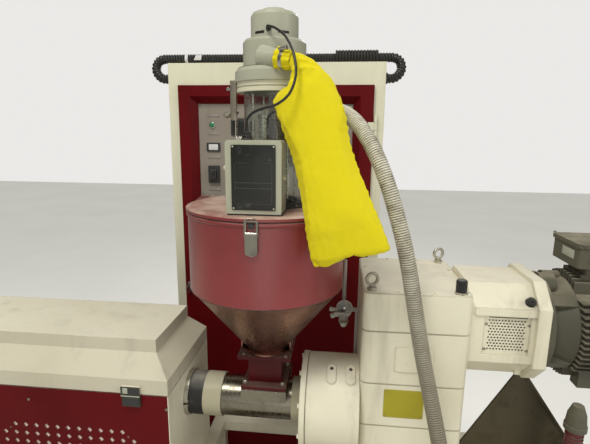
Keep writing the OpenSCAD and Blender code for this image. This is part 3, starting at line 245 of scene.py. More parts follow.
def hose_wall():
    """Cloudy hose wall, darker towards the bottom, with painted shade between its ribs."""
    net = Net("ribbed_hose")
    cloud = net.ramp(net.noise(26.0, 5.0, 0.6), 0.35, 0.75)
    height = net.node("SeparateXYZ", Vector=net.coord).outputs["Z"]
    # Darker towards the bottom.
    clear = net.mix(net.ramp(height, 0.9, 1.95), (0.245, 0.215, 0.155), (0.74, 0.71, 0.59))
    cloudy = net.mix(cloud, clear, (0.3, 0.27, 0.2))
    # Painted shade: darker in the grooves between the ribs, taken from pointiness.
    crest = net.ramp(net.node("NewGeometry").outputs["Pointiness"], 0.44, 0.54)
    net.set(Base_Color=net.mix(crest, (0.085, 0.075, 0.055), cloudy), Transmission_Weight=0.1, IOR=1.45)
    net.set(Roughness=net.ramp(net.noise(60.0, 3.0), 0.3, 0.7, 0.28, 0.5))
    net.bump(net.noise(300.0, 2.0), 0.0002, 0.5)
    return net.mat


def filter_cloth():
    """Plain woven filter cloth with crossing threads, soil and slight sheen."""
    net = Net("filter_cloth")
    place = net.node("SeparateXYZ", Vector=net.coord)
    warp = net.math("SINE", net.times(place.outputs["X"], 3600.0))
    weft = net.math("SINE", net.times(place.outputs["Z"], 3600.0))
    weave = net.times(warp, weft)
    soil = net.ramp(net.noise(7.0, 6.0, 0.6), 0.46, 0.78, 0.0, 0.3)
    base = net.mix(soil, (0.87, 0.735, 0.004), (0.61, 0.485, 0.006))
    net.set(Base_Color=net.mix(net.ramp(weave, -1.0, 1.0, 0.0, 0.12), base, (0.55, 0.45, 0.006)))
    net.set(Roughness=net.ramp(net.noise(30.0, 4.0), 0.3, 0.7, 0.55, 0.75))
    net.set(Sheen_Weight=0.04, Sheen_Roughness=0.5, Specular_IOR_Level=0.25)
    folds = net.noise(7.5, 3.0, 0.5, distortion=1.2)
    creases = net.math("ADD", net.times(folds, 2.2), net.noise(24.0, 5.0, 0.6))
    net.bump(net.math("ADD", net.times(weave, 0.1), creases), 0.006, 0.7)
    return net.mat


CREAM = (0.79, 0.75, 0.595)
CREAM_DARK = (0.7, 0.655, 0.5)
RED = (0.125, 0.005, 0.007)
RED_DARK = (0.09, 0.0035, 0.005)
RED_SOIL = (0.06, 0.022, 0.018)
PINK_DUST = (0.52, 0.38, 0.3)
M = {
    "cream": enamel("cream_enamel", CREAM, CREAM_DARK, grime=0.24, dust=0.34),
    # The cover's standing faces carry painted shade.
    "cream_lid": enamel("lid_enamel", CREAM, CREAM_DARK, grime=0.28, dust=0.4, upright_shade=0.3),
    "cream_cast": enamel("cream_casting", CREAM, CREAM_DARK, rough=0.42, grime=0.3, dust=0.42, edge=0.006,
                         peel=0.0005, dust_colour=(0.66, 0.6, 0.54)),
    "cabinet_cream": enamel("cabinet_enamel", (0.745, 0.73, 0.57), (0.66, 0.645, 0.49), grime=0.15, dust=0.4),
    "red": enamel("red_enamel", RED, RED_DARK, rough=0.38, coat=0.02, dust=0.4, grime=0.18, gloss=0.08,
                  soil=RED_SOIL),
    # A darker copy of the red enamel: painted shade for the shadowed feed throat.
    "throat_red_painted_shade": enamel("throat_enamel_painted_shade", (0.085, 0.004, 0.005), (0.055, 0.003, 0.004), coat=0.08, dust=0.45,
                         grime=0.25, gloss=0.2, soil=RED_SOIL, dust_colour=(0.3, 0.22, 0.18)),
    "hopper_red": enamel("hopper_enamel", (0.24, 0.017, 0.019), (0.17, 0.01, 0.012), rough=0.44, coat=0.5,
                         dust=0.92, grime=0.25, dust_colour=PINK_DUST, gloss=0.7, soil=RED_SOIL),
    "motor_grey": enamel("motor_enamel", (0.105, 0.1, 0.069), (0.07, 0.067, 0.046), rough=0.5, coat=0.0,
                         dust=0.75, grime=0.4, peel=0.0004, dust_colour=(0.33, 0.29, 0.22)),
    "light_grey": enamel("grey_enamel", (0.29, 0.255, 0.215), (0.24, 0.21, 0.178), rough=0.45, coat=0.0,
                         dust=0.4),
    "plate_grey": enamel("plate_grey", (0.42, 0.43, 0.35), (0.36, 0.37, 0.3), rough=0.45, coat=0.0, dust=0.2,
                         edge=0.0008),
    "valve_grey": enamel("valve_enamel", (0.32, 0.28, 0.255), (0.25, 0.215, 0.195), rough=0.4, dust=0.7),
    "sage": enamel("sage_enamel", (0.4, 0.402, 0.315), (0.345, 0.347, 0.27), coat=0.2, dust=0.35, grime=0.15),
    "box_grey": enamel("box_enamel", (0.42, 0.422, 0.32), (0.36, 0.362, 0.27), rough=0.4, dust=0.35,
                       grime=0.2),
    "olive_plate": enamel("olive_plate", (0.42, 0.365, 0.02), (0.32, 0.27, 0.018), rough=0.5, coat=0.0,
                          dust=0.2, edge=0.0008),
    "pale_ring": enamel("pale_ring", (0.42, 0.39, 0.275), (0.35, 0.32, 0.22), rough=0.45, dust=0.3),
    "liner": enamel("pale_liner", (0.9, 0.74, 0.68), (0.84, 0.68, 0.62), rough=0.6, coat=0.0, dust=0.2),
    "steel": metal("machined_steel", (0.42, 0.39, 0.33), 0.3, stain=0.55, tooth=0.00005),
    "fitting_steel": metal("painted_steel", (0.6, 0.58, 0.5), 0.42, stain=0.6, tooth=0.00005),
    "barrel_steel": metal("barrel_steel", (0.26, 0.24, 0.19), 0.25, brushed=(1.0, 0.1, 0.1), stain=0.5,
                          tooth=0.00002),
    "stainless": metal("stainless_steel", (0.58, 0.57, 0.51), 0.24, brushed=(0.2, 0.2, 1.0), tooth=0.00002),
    "latch_steel": metal("latch_steel", (0.25, 0.24, 0.2), 0.34, stain=0.5, tooth=0.00002),
    # Polished steel tinted reddish brown: a painted reflection of the red parts around the cone.
    "cone_metal_painted_reflection": metal("cone_metal_painted_reflection", (0.34, 0.185, 0.145), 0.27, stain=0.5, tooth=0.00002),
    "sheet": metal("dark_sheet", (0.115, 0.1, 0.07), 0.42, stain=0.5),
    "aluminium": metal("cast_aluminium", (0.6, 0.6, 0.58), 0.42),
    "bolt": metal("zinc_bolt", (0.36, 0.33, 0.27), 0.38, stain=0.6, edge=0.0006),
    "white_bolt": enamel("painted_bolt", CREAM, CREAM_DARK, rough=0.4, dust=0.3, edge=0.0006),
    "black": moulded("black_plastic", (0.013, 0.013, 0.013), 0.45),
    "face_black": moulded("face_plate_black", (0.011, 0.012, 0.01), 0.42, dust=0.1, coat=0.1),
    "rubber": moulded("black_rubber", (0.016, 0.016, 0.016), 0.7, dust=0.4),
    "white": moulded("white_plastic", (0.63, 0.61, 0.46), 0.4, dust=0.3, coat=0.15),
    "dark": moulded("dark_plastic", (0.03, 0.03, 0.03)),
    "bare_white": moulded("white_print", (0.66, 0.66, 0.66)),
    "green": moulded("green_lens", (0.01, 0.21, 0.08), 0.2, coat=0.6),
    "conduit_red": moulded("conduit_red", (0.12, 0.01, 0.012), 0.4, dust=0.2, coat=0.2),
    "conduit_black": moulded("conduit_black", (0.022, 0.022, 0.02), 0.42, dust=0.75, coat=0.1),
    "latch_olive": moulded("latch_olive", (0.045, 0.052, 0.036), 0.4, dust=0.2),
    "grey_print": moulded("grey_print", (0.16, 0.16, 0.15), dust=0.1),
    "filter": metal("filter_mesh", (0.2, 0.165, 0.12), 0.4, stain=0.6),
    "glass": glass(),
    "hose": hose_wall(),
    "cloth": filter_cloth(),
}

DRESS = {
    "cream": "base_frame stand_frame stand_end_walls",
    "cream_lid": "barrel_cover",
    "cream_cast": "bearing_housing gearbox_lower gearbox_middle gearbox_upper gearbox_top lantern",
    "cabinet_cream": "cabinet_shell cabinet_hinges door_hinge_leaves",
    "box_grey": "control_box",
    "red": "base_skirts stand_panels cabinet_door",
    # The feed throat gets the red with painted shade.
    "throat_red_painted_shade": "feed_throat",
    "hopper_red": "hopper_body hopper_lid",
    # The hopper cone's tint is a painted reflection.
    "cone_metal_painted_reflection": "hopper_cone",
    "motor_grey": "motor_shield motor_frame motor_cowl terminal_box zone_blowers cabinet_plinth cable_duct "
                  "motor_conduit",
    "light_grey": "instrument_panel",
    "valve_grey": "water_valve",
    "sage": "loader_hood loader_cap",
    "pale_ring": "jacket_ring",
    "steel": "screw screw_flight die_flange cover_hinges cover_hinge_leaves shaft_coupling",
    "fitting_steel": "gearbox_fittings",
    "barrel_steel": "barrel",
    "latch_steel": "hopper_latches",
    "stainless": "barrel_clamp loader_latches loader_inlet suction_lance",
    "sheet": "motor_support",
    "latch_olive": "cover_latches",
    "white_bolt": "lantern_guards",
    "aluminium": "barrel_heaters",
    "glass": "loader_vessel",
    "white": "loader_ring",
    "black": "cap_gland power_cord",
    "conduit_black": "cabinet_conduit",
    "rubber": "seal_ring",
    "dark": "loader_base",
    "hose": "suction_hose",
    "cloth": "dust_bag",
}
for key, names in DRESS.items():
    for name in names.split():
        NODES[name].data.materials.clear()
        NODES[name].data.materials.append(M[key])


# Mesh making
RIGHT = (1, 0, 0)
LEFT = (-1, 0, 0)
FRONT = (0, -1, 0)
BACK = (0, 1, 0)
UP = (0, 0, 1)
CORNER_STEPS = 6


def rounded(low, high, radius):
    """Outline of a rectangle with round corners, from its low corner to its high one."""
    middle = ((low[0] + high[0]) / 2, (low[1] + high[1]) / 2)
    half = ((high[0] - low[0]) / 2 - radius, (high[1] - low[1]) / 2 - radius)
    line = []
    for k, (sx, sy) in enumerate(((1, 1), (-1, 1), (-1, -1), (1, -1))):
        for i in range(CORNER_STEPS + 1):
            a = pi / 2 * (k + i / CORNER_STEPS)
            line.append((middle[0] + sx * half[0] + radius * cos(a),
                         middle[1] + sy * half[1] + radius * sin(a)))
    return line


def frame_of(direction):
    """Three directions at right angles, the first along a given one."""
    axis = Vector(direction).normalized()
    side = axis.cross(Vector(UP if abs(axis.z) < 0.9 else RIGHT)).normalized()
    return axis, side, axis.cross(side)


def turns(count, first=0.0):
    """Angles spread evenly over a full turn, from a first one in degrees."""
    return [radians(first) + 2 * pi * k / count for k in range(count)]


def circle(centre, side, other, radius, count):
    """Points spread evenly round a centre, in the plane of two directions."""
    return [centre + (side * cos(a) + other * sin(a)) * radius for a in turns(count)]


def around(centre, a, radius):
    """The point at angle a on a level circle."""
    return Vector(centre) + Vector((cos(a), sin(a), 0)) * radius


class Maker:
    """Collects simple solids in one mesh; sizes in millimetres from the machine's own zero."""

    def __init__(self, name, key, body="machine"):
        self.name = name
        self.key = key
        self.body = body
        self.mesh = bmesh.new()

    def join(self, rings):
        """Quads from each ring of vertices to the next."""
        for low, high in zip(rings, rings[1:]):
            for quad in zip(low, low[1:] + low[:1], high[1:] + high[:1], high):
                self.mesh.faces.new(quad)

    def skin(self, rings, ends="capped"):
        """A wall through rings of points; its ends are capped, open, or joined to each other."""
        rings = [[self.mesh.verts.new(at(*point)) for point in ring] for ring in rings]
        self.join(rings + rings[:1] if ends == "joined" else rings)
        if ends == "capped":
            self.mesh.faces.new(list(reversed(rings[0])))
            self.mesh.faces.new(rings[-1])
        return rings

    def soften(self, edges, amount):
        """Rounds edges off."""
        bmesh.ops.bevel(self.mesh, geom=edges, offset=amount / 1000, segments=2, affect="EDGES", profile=0.6)

    def rod(self, where, way, profile, sides=24):
        """A turned form: profile is a list of (distance, radius) from a point along a direction."""
        axis, side, other = frame_of(way)
        start = Vector(where)
        self.skin([circle(start + axis * along, side, other, radius, sides) for along, radius in profile])

    def bolt(self, where, way, size):
        """A hexagon head on a washer, standing on a surface."""
        wide = size * 0.95
        self.rod(where, way, [(-0.5, size * 1.15), (size * 0.16, size * 1.15)], 20)
        self.rod(where, way, [(size * 0.1, wide), (size * 0.72, wide), (size * 0.82, size * 0.8)], 6)

    def screw(self, where, way, size):
        """A pan head with a driver recess."""
        self.rod(where, way, [(-0.5, size), (size * 0.35, size), (size * 0.62, size * 0.72),
                              (size * 0.68, size * 0.34), (size * 0.3, size * 0.22)], 20)

    def prism(self, outline, axis, low, high, soften=0.0):
        """An outline drawn in the two other directions, drawn out along an axis, its rims softened."""
        n = "xyz".index(axis)
        rings = [[self.mesh.verts.new(at(*pair[:n], t, *pair[n:])) for pair in outline] for t in (low, high)]
        caps = [self.mesh.faces.new(ring) for ring in rings]
        self.join(rings)
        if soften:
            self.soften(list({e for cap in caps for e in cap.edges}), soften)

    def hoop(self, centre, way, radius, wire, count=72, sides=10):
        """A round wire bent into a closed ring about a direction."""
        axis, side, other = frame_of(way)
        self.tube(circle(Vector(centre), side, other, radius, count), wire, sides, closed=True)

    def band(self, centre, way, low, high, inner, outer, count=72):
        """A flat ring about a direction, from one height to another."""
        axis, side, other = frame_of(way)
        start = Vector(centre)
        corners = ((low, inner), (low, outer), (high, outer), (high, inner))
        self.skin([circle(start + axis * t, side, other, radius, count) for t, radius in corners], "joined")

    def block(self, low, high, soften=0.0):
        """A box with softened edges."""
        low, high = Vector(low), Vector(high)
        made = bmesh.ops.create_cube(self.mesh, size=1.0)["verts"]
        for v in made:
            v.co = at(*((low + high) / 2 + v.co * (high - low)))
        if soften:
            self.soften(list({e for v in made for e in v.link_edges}), soften)

    def tube(self, points, radius, sides=10, closed=False, side=None):
        """A round wire through points; radius may be a list, and side is where each ring starts."""
        points = [Vector(p) for p in points]
        radii = radius if isinstance(radius, list) else [radius] * len(points)
        last = len(points) - 1
        rings = []
        for i, p in enumerate(points):
            ahead = points[(i + 1) % len(points)] if closed else points[min(i + 1, last)]
            behind = points[i - 1] if closed else points[max(i - 1, 0)]
            axis = (ahead - behind).normalized()
            if side is None:
                side = axis.orthogonal().normalized()
            side = (side - axis * side.dot(axis)).normalized()
            rings.append(circle(p, side, axis.cross(side), radii[i], sides))
        self.skin(rings, "joined" if closed else "capped")

    def data(self):
        """The collected solids as mesh data that faces outward."""
        bmesh.ops.recalc_face_normals(self.mesh, faces=self.mesh.faces)
        data = bpy.data.meshes.new(self.name)
        self.mesh.to_mesh(data)
        self.mesh.free()
        return data

    def make(self, sharp=32.0):
        """An object of the collected solids, on its body and in its material's slot."""
        data = self.data()
        for face in data.polygons:
            face.use_smooth = True
        data.set_sharp_from_angle(angle=radians(sharp))
        data.materials.append(M[self.key])
        made = linked(self.name, data)
        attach(made, self.body)
        return made


PIECES = []


def piece(name, key, body="machine"):
    """A new piece, made with all the others when their forms are complete."""
    PIECES.append(Maker(name, key, body))
    return PIECES[-1]


def plate(name, key, axis, low, high, radius, near, far, soften, body="machine"):
    """A piece that is one flat plate with round corners."""
    piece(name, key, body).prism(rounded(low, high, radius), axis, near, far, soften)


# Cords come first
def smooth_rows(rows, steps):
    """Rows of numbers joined by a smooth curve, as in the solids' own routes."""
    last = len(rows) - 1
    made = []
    for i in range(last):
        four = (rows[max(i - 1, 0)], rows[i], rows[i + 1], rows[min(i + 2, last)])
        for k in range(steps):
            t = k / steps
            made.append([0.5 * (2 * b + (c - a) * t + (2 * a - 5 * b + 4 * c - d) * t * t
                                + (3 * b - a - 3 * c + d) * t * t * t) for a, b, c, d in zip(*four)])
    made.append(list(rows[last]))
    return made


def smooth_route(points, steps):
    return [Vector(row) for row in smooth_rows(points, steps)]


def length_of(line):
    return sum((b - a).length for a, b in zip(line, line[1:]))


def even(line, count):
    """The same line cut into equal steps."""
    step = length_of(line) / count
    made = [line[0]]
    walked = 0.0
    for a, b in zip(line, line[1:]):
        part = (b - a).length
        while walked + part >= step * len(made) and len(made) < count:
            made.append(a.lerp(b, (step * len(made) - walked) / part))
        walked += part
    made.append(line[-1])
    return made


CORD = [(18, -86, 1203), (22, -104, 1202), (48, -126, 1190), (80, -160, 1160), (104, -192, 1112),
        (112, -214, 1058), (98, -228, 1012), (68, -230, 986), (34, -224, 976), (2, -208, 966),
        (-20, -190, 950), (-25, -180, 932), (-25, -178, 912.6)]
HOSE = [(150, -10, 985), (190, -10, 985), (232, -32, 975), (270, -75, 948), (305, -120, 900),
        (338, -155, 836), (365, -175, 768), (390, -190, 690), (410, -200, 620), (430, -204, 535),
        (455, -206, 410), (478, -210, 300), (498, -215, 214), (533, -250, 54), (556, -282, -80),
        (580, -315, -210), (604, -337, -340), (630, -350, -480), (662, -362, -620), (706, -382, -750),
        (766, -405, -862), (842, -420, -938), (925, -425, -974), (1010, -425, -974)]
ROUTE_STEPS = 12
CORD_CUTS = 110
HOSE_CUTS = 240
STEPS_PER_RIB = 5

cord_line = even(smooth_route(CORD, ROUTE_STEPS), CORD_CUTS)
wire = Maker("mains_cord", "black")
wire.tube(cord_line, radius=3.5, sides=12)
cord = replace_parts(wire.make(), "power_cord")


def ribbed_hose(name, key, line, radius, pitch, depth):
    """A hose of one outer radius whose wall draws in by a depth between ribs set at a pitch."""
    count = int(length_of(line) / pitch) * STEPS_PER_RIB
    swell = [0.5 + 0.5 * cos(2 * pi * i / STEPS_PER_RIB) for i in range(count + 1)]
    made = Maker(name, key)
    made.tube(even(line, count), [radius - depth * s ** 2 for s in swell], 20, side=Vector(UP))
    return made.make(sharp=80)


hose_line = smooth_route(HOSE, ROUTE_STEPS)
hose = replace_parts(ribbed_hose("ribbed_suction_hose", "hose", hose_line, 22.5, 6.6, 2.6), "suction_hose")
[at(*p) for p in even(hose_line, HOSE_CUTS)]


# Dust bag: a sewn sack, blown up by cloth simulation
NOZZLE_TIP = Vector((91, -126, 1107))
NOZZLE_WAY = Vector((0.887, -0.429, -0.170)).normalized()
# Each row: middle X, Y, Z, half width, half thickness, tilt and turn in degrees, as the solid's own rings
BAG = [(91.3, -126.2, 1107, 20, 20, -80.2, -25.8), (104, -136, 1098, 28, 26, -66, -22),
       (113, -148, 1072, 52, 30, -34, -8), (124, -158, 1026, 84, 35, -20, 0),
       (153, -167, 950, 90, 44, -16, 0), (181, -186, 860, 84, 46, -16, 0), (210, -214, 770, 88, 45, -16, 0),
       (239, -244, 680, 96, 41, -16, 0), (264, -254, 604, 103, 30, -12, 0), (270, -255, 574, 96, 10, -10, 0)]
# Cuff: distance along the nozzle, radius and depth of folds
CUFF = [(-44, 30.5, 1.6), (-42, 32.0, 1.8), (-34, 30.0, 0.8), (-24, 27.4, 0.2), (-14, 27.0, 0.9),
        (-4, 25.5, 1.6), (6, 23.0, 1.0)]
FOOT_FROM = 0.86
FOOT_LIFT = 36
CORNER_LIFT = 12
# The unfilled sack is wider and flatter than the solid
FLAT_WIDE = 1.16
FLAT_THICK = 0.75
# Above and below these heights the sack is held
NECK_HEIGHT = 1084
SEAM_HEIGHT = 566


def bag_point(row, share, a):
    """A point on the unfilled sack's wall, share of the way down it, at angle a round it."""
    x, y, z, half_w, half_t, tilt, turn = row
    tilt, turn = radians(tilt), radians(turn)
    flat = min(1.0, share * 4)
    s = cos(a)
    lens = sin(a) * (1 - flat + flat * (1 - abs(s) ** 3) ** 0.35)
    u = half_w * s * (1 + (FLAT_WIDE - 1) * flat)
    v = half_t * lens * (1 + (FLAT_THICK - 1) * flat)
    foot = max(0.0, share - FOOT_FROM) / (1 - FOOT_FROM)
    slope = min(1.0, max(0.0, (s + 1) / 1.1))
    drop = -foot * (FOOT_LIFT * slope * slope * (3 - 2 * slope) + CORNER_LIFT * max(0.0, s) ** 6)
    v += 3.5 * exp(-9 * share) * flat * sin(11 * a)
    v += 1.6 * sin(5 * a + 17 * share) * flat * (1 - share)
    across = u * cos(tilt)
    return Vector((x + across * cos(turn) - v * sin(turn),
                   y + across * sin(turn) + v * cos(turn), z - u * sin(tilt) - drop))


def sack_mesh():
    """The sack before it fills: rings from the neck to the flat sewn foot."""
    rows = smooth_rows(BAG, 6)
    sides = 64
    made = Maker("sack", "cloth")
    rings = made.skin([[bag_point(row, i / (len(rows) - 1), a) for a in turns(sides, 180 / sides)]
                       for i, row in enumerate(rows)], "open")
    made.mesh.faces.new(rings[0])
    made.mesh.faces.new(list(reversed(rings[-1])))
    return made.data()


def applied(holder):
    """The mesh of a holder with its modifier applied; the holder goes."""
    ready = holder.evaluated_get(bpy.context.evaluated_depsgraph_get())
    made = bpy.data.meshes.new_from_object(ready)
    bpy.data.objects.remove(holder)
    return made


def with_modifier(data, kind, **settings):
    """A copy of a mesh with one modifier applied."""
    holder = linked("holder", data)
    given(holder.modifiers.new("step", kind), **settings)
    return applied(holder)


def blow_up(data, pressure, frames, cap):
    """Fills a closed sack of cloth; its neck and foot seam are held, and no point moves more than cap mm."""
    holder = linked("holder", data)
    held = holder.vertex_groups.new(name="held")
    neck = at(0, 0, NECK_HEIGHT).z
    foot = at(0, 0, SEAM_HEIGHT).z
    held.add([v.index for v in data.vertices if v.co.z > neck or v.co.z < foot], 1.0, "REPLACE")
    cloth = holder.modifiers.new("fill", "CLOTH")
    given(cloth.settings, quality=6, mass=0.25, tension_stiffness=12, compression_stiffness=4,
          shear_stiffness=3, bending_stiffness=0.05, use_pressure=True, uniform_pressure_force=pressure,
          shrink_min=-0.07, vertex_group_mass="held")
    cloth.settings.effector_weights.gravity = 0
    given(cloth.point_cache, frame_start=1, frame_end=frames)
    start = [v.co.copy() for v in data.vertices]
    for frame_number in range(1, frames + 1):
        scene.frame_set(frame_number)
    made = applied(holder)
    for v, was in zip(made.vertices, start):
        moved = v.co - was
        if moved.length > cap / 1000:
            v.co = was + moved * (cap / 1000 / moved.length)
    scene.frame_set(1)
    return made


def kept_inside(data, solid, spare):
    """Draws every point that left the CAD solid back to within a spare distance of it."""
    faces = [tuple(p.vertices) for p in solid.data.polygons]
    tree = BVHTree.FromPolygons([solid.matrix_world @ v.co for v in solid.data.vertices], faces)
    for v in data.vertices:
        near, normal, face, gap = tree.find_nearest(v.co)
        if (v.co - near).dot(normal) > 0 and gap > spare / 1000:
            v.co = near + (v.co - near) * (spare / 1000 / gap)


def wrinkle(data):
    """Presses in pleats that run out from the tied neck, and small gathers along both side seams."""
    axis, side, other = frame_of(NOZZLE_WAY)
    neck = at(*NOZZLE_TIP)
    fall = Vector((0.29, -0.27, -0.92))
    normals = [v.normal.copy() for v in data.vertices]
    for v, normal in zip(data.vertices, normals):
        reach = (v.co - neck) * 1000
        turn = atan2(reach.dot(other), reach.dot(side))
        along = reach.dot(fall)
        start = min(1.0, max(0.0, reach.length - 26) / 30)
        pleat = 9.0 * start * exp(-reach.length / 95) * (0.5 + 0.5 * sin(8 * turn + along / 45))
        gather = 2.6 * abs(normal.x) ** 3 * (0.5 + 0.5 * sin(along / 4.6 + 2.2 * sin(along / 37)))
        v.co -= normal * ((pleat + gather) / 1000)


def dust_bag():
    """The filled sack, with a cuff gathered over the nozzle."""
    data = sack_mesh()
    data = with_modifier(data, "REMESH", mode="VOXEL", voxel_size=0.006)
    data = blow_up(data, pressure=4.0, frames=20, cap=14)
    kept_inside(data, NODES["dust_bag"], spare=3.0)
    wrinkle(data)
    data = with_modifier(data, "SUBSURF", levels=1)
    made = Maker("filter_sack", "cloth")
    made.mesh.from_mesh(data)
    axis, side, other = frame_of(NOZZLE_WAY)
    rings = []
    for along, radius, fold in CUFF:
        ring = []
        for a in turns(72):
            reach = radius + fold * (sin(9 * a) + 0.5 * sin(14 * a + 1))
            ring.append(NOZZLE_TIP + axis * along + (side * cos(a) + other * sin(a)) * reach)
        rings.append(ring)
    made.skin(rings, "open")
    bag = made.make(sharp=180)
    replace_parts(bag, "dust_bag")


dust_bag()

clamp = piece("bag_hose_clamp", "stainless")
clamp.band(NOZZLE_TIP, NOZZLE_WAY, -29, -18, 27.2, 28.8)
clamp.rod(NOZZLE_TIP + Vector((-34, -13, 28)), (24, -11, 2), [(0, 4.5), (20, 4.5), (21, 6), (26, 6)], 12)


# Loader: control box, vessel, hood and cap
plate("box_face_plate", "face_black", "y", (-60, 705), (61, 881), 4, -222.4, -220.1, 0.6)
lines = piece("box_plate_frames", "grey_print")
for low, high in (((-50, 722), (51, 833)), ((-50, 780), (51, 833)), ((-50, 722), (51, 765))):
    lines.tube([(x, -222.5, z) for x, z in rounded(low, high, 3)], 0.35, 6, closed=True)
# Dark strips along the box's front and right foot: painted shadow where the box stands on the lid.
strip = piece("box_under_shadow_strip", "rubber")
strip.block((-73, -221.2, 690.1), (73, -219, 694.5), 0.6)
strip.block((74, -218, 690.1), (77.8, -134, 694), 0.6)
trim = piece("box_fasteners", "white")
for x, z in product((-55, 56), (710, 876)):
    trim.screw((x, -222.3, z), FRONT, 2.2)
trim.rod((-77, -180, 815), LEFT, [(-0.5, 6), (3, 6), (4, 8.5), (11, 8.5), (13, 6.5), (13.2, 2)])
trim.rod((77, -171, 790), RIGHT, [(-0.5, 7), (2, 7), (5, 5.5), (5.5, 3)])
seam = piece("box_lid_seams", "dark")
seam.tube([(x, -212, z) for x, z in rounded((-77.1, 690.5), (77.1, 893.4), 10)], 0.6, 6, closed=True)
boot = piece("box_cord_boot", "black")
boot.rod((-25, -178, 893), UP, [(0.3, 16), (4, 16), (5, 14), (12, 13), (13, 10.5), (21, 9), (22, 5.5),
                                (44, 4.4)], 28)

LOADER_X = 25
rods = piece("vessel_rods", "stainless")
for a in turns(4, 38):
    foot = around((LOADER_X, 0, 706), a, 74)
    rods.rod(foot, UP, [(0, 6), (6, 6), (7, 3.2), (318, 3.2), (319, 6), (323, 6)], 14)
rods.rod((-12, 10, 706), UP, [(0, 16), (250, 16), (251, 19), (262, 19)])
basket = piece("filter_basket", "filter")
for a in turns(40):
    basket.tube([around((40, 20, z), a, radius) for z, radius in ((1026, 36), (906, 36), (816, 34))], 1.6, 6)
for z in range(820, 1030, 12):
    basket.hoop((40, 20, z), UP, 36, 1.3, 48, 6)
basket.rod((40, 20, 812), UP, [(0, 30), (6, 35), (9, 35)], 36)
lead = piece("level_sensor", "black")
lead.tube(smooth_route([(-25, -120, 712), (20, -104, 722), (70, -80, 716), (98, -40, 700)], 8), 5)
lead.block((28, -108, 708), (66, -84, 736), 3)
strap = piece("strap_toggle", "bolt")
strap.block((-103.5, -9, 955), (-97.5, 9, 1066), 1.5)
strap.block((-111, -16, 950), (-92, -12, 1068), 1.5)
strap.rod((-98, -11, 975), BACK, [(-2, 7), (24, 7)], 18)
strap.rod((-103, 0, 975), (-1, 0, -0.4), [(0, 4), (14, 4), (15, 9), (30, 9), (34, 5)], 20)
slots = piece("cap_slot_inserts", "black")
SLOT_BENDS = (-0.24, -0.12, 0, 0.12, 0.24)
for middle in (-60, -120, 30, 150):
    corners = [(66.8, bend) for bend in SLOT_BENDS] + [(71.4, bend) for bend in reversed(SLOT_BENDS)]
    points = [around((LOADER_X, 0, 0), radians(middle) + bend, radius) for radius, bend in corners]
    slots.prism([(p.x, p.y) for p in points], "z", 1191.5, 1198.5)
seams = piece("loader_gaskets", "dark")
seams.hoop((LOADER_X, 0, 1100), UP, 110.2, 0.7)
seams.hoop((LOADER_X, 0, 1180), UP, 71.4, 0.9)
seams.band((LOADER_X, 0, 0), UP, 1029, 1031, 93.5, 96.5)
rivets = piece("loader_fasteners", "bolt")
for turn, z in product((50, 180), (882, 1046, 1062)):
    a = radians(turn)
    rivets.screw(around((LOADER_X, 0, z), a, 123), around((0, 0, 0), a, 1), 3.2)
for a in turns(6, 15):
    rivets.bolt(around((LOADER_X, 0, 696.2), a, 109), UP, 5)
clips = piece("hose_clamps", "stainless")
clips.band(HOSE[0], RIGHT, 4, 15, 23.0, 25.2)
clips.rod((154, -10, 1012), RIGHT, [(0, 4), (12, 4)], 12)
clips.band(HOSE[-1], RIGHT, -22, -10, 23.0, 25.0)
sleeves = piece("lance_sleeves", "black")
sleeves.band(HOSE[-1], RIGHT, 0.5, 60, 19.0, 21.5)
sleeves.band(HOSE[-1], RIGHT, 330, 389, 19.2, 21.0)


# Hopper: gaskets, latch parts, throat bolts and throat gasket
def at_latch(turn, reach, across, z):
    """A point at a hopper latch: distance from the axis, distance sideways and height."""
    a = radians(turn)
    return Vector((reach * cos(a) - across * sin(a), reach * sin(a) + across * cos(a), z))


gaskets = piece("hopper_gaskets", "rubber")
gaskets.hoop((0, 0, 677.4), UP, 251.6, 2.2, 128)
gaskets.hoop((0, 0, 427.2), UP, 250.0, 1.0, 128, 6)
for turn in (-90, 30, 150):
    out = at_latch(turn, 1, 0, 0)
    sideways = at_latch(turn, 0, 1, 0)
    number = str(turn + 90)
    bail = piece("latch_bail_" + number, "stainless")
    bail.tube([at_latch(turn, *p) for p in ((257, 15, 648), (257, 15, 682), (255, 10, 689), (255, -10, 689),
                                            (257, -15, 682), (257, -15, 648))], 1.6, 8)
    for z, across in product((606, 640), (-9, 9)):
        bail.screw(at_latch(turn, 256.4, across, z), out, 2.4)
    lever = piece("latch_lever_" + number, "stainless")
    for s in (-1, 1):
        lever.tube([at_latch(turn, 256.6, s * across, z)
                    for across, z in ((15.5, 646), (15.5, 598), (11, 588), (0, 585))], 1.7, 8)
    lever.rod(at_latch(turn, 257, -17, 648), sideways, [(0, 3.2), (34, 3.2)], 14)
    # A dark disc in the recess at each latch's top: painted shade.
    recess_shade = piece("latch_recess_shade_" + number, "dark")
    recess_shade.rod(at_latch(turn, 253.2, 0, 668), out, [(0, 9.5), (3.4, 9.5), (3.6, 8)], 6)
throat = piece("throat_bolts", "fitting_steel")
for x, y in product((-65, 60), (-64, 64)):
    throat.rod((x, y, 90), UP, [(0, 9.5), (1.5, 9.5), (2, 8), (7, 7.4), (9, 5), (9.2, 2)], 20)
for x, y in product((-70, 2, 70), (-66, 66)):
    throat.bolt((x, y, 192), UP, 5)
for s, y in product((-1, 1), (-22, 22)):
    throat.rod((s * 84.6, y, 230), (s, 0, 0), [(-0.4, 6), (1, 6), (3.5, 4.5)], 18)
# A black gasket under the throat flange, its black also a painted shadow along the gap there.
piece("throat_gasket_and_shadow", "rubber").block((-74.6, -92, 76.2), (74.6, 92, 79.4), 0.8)


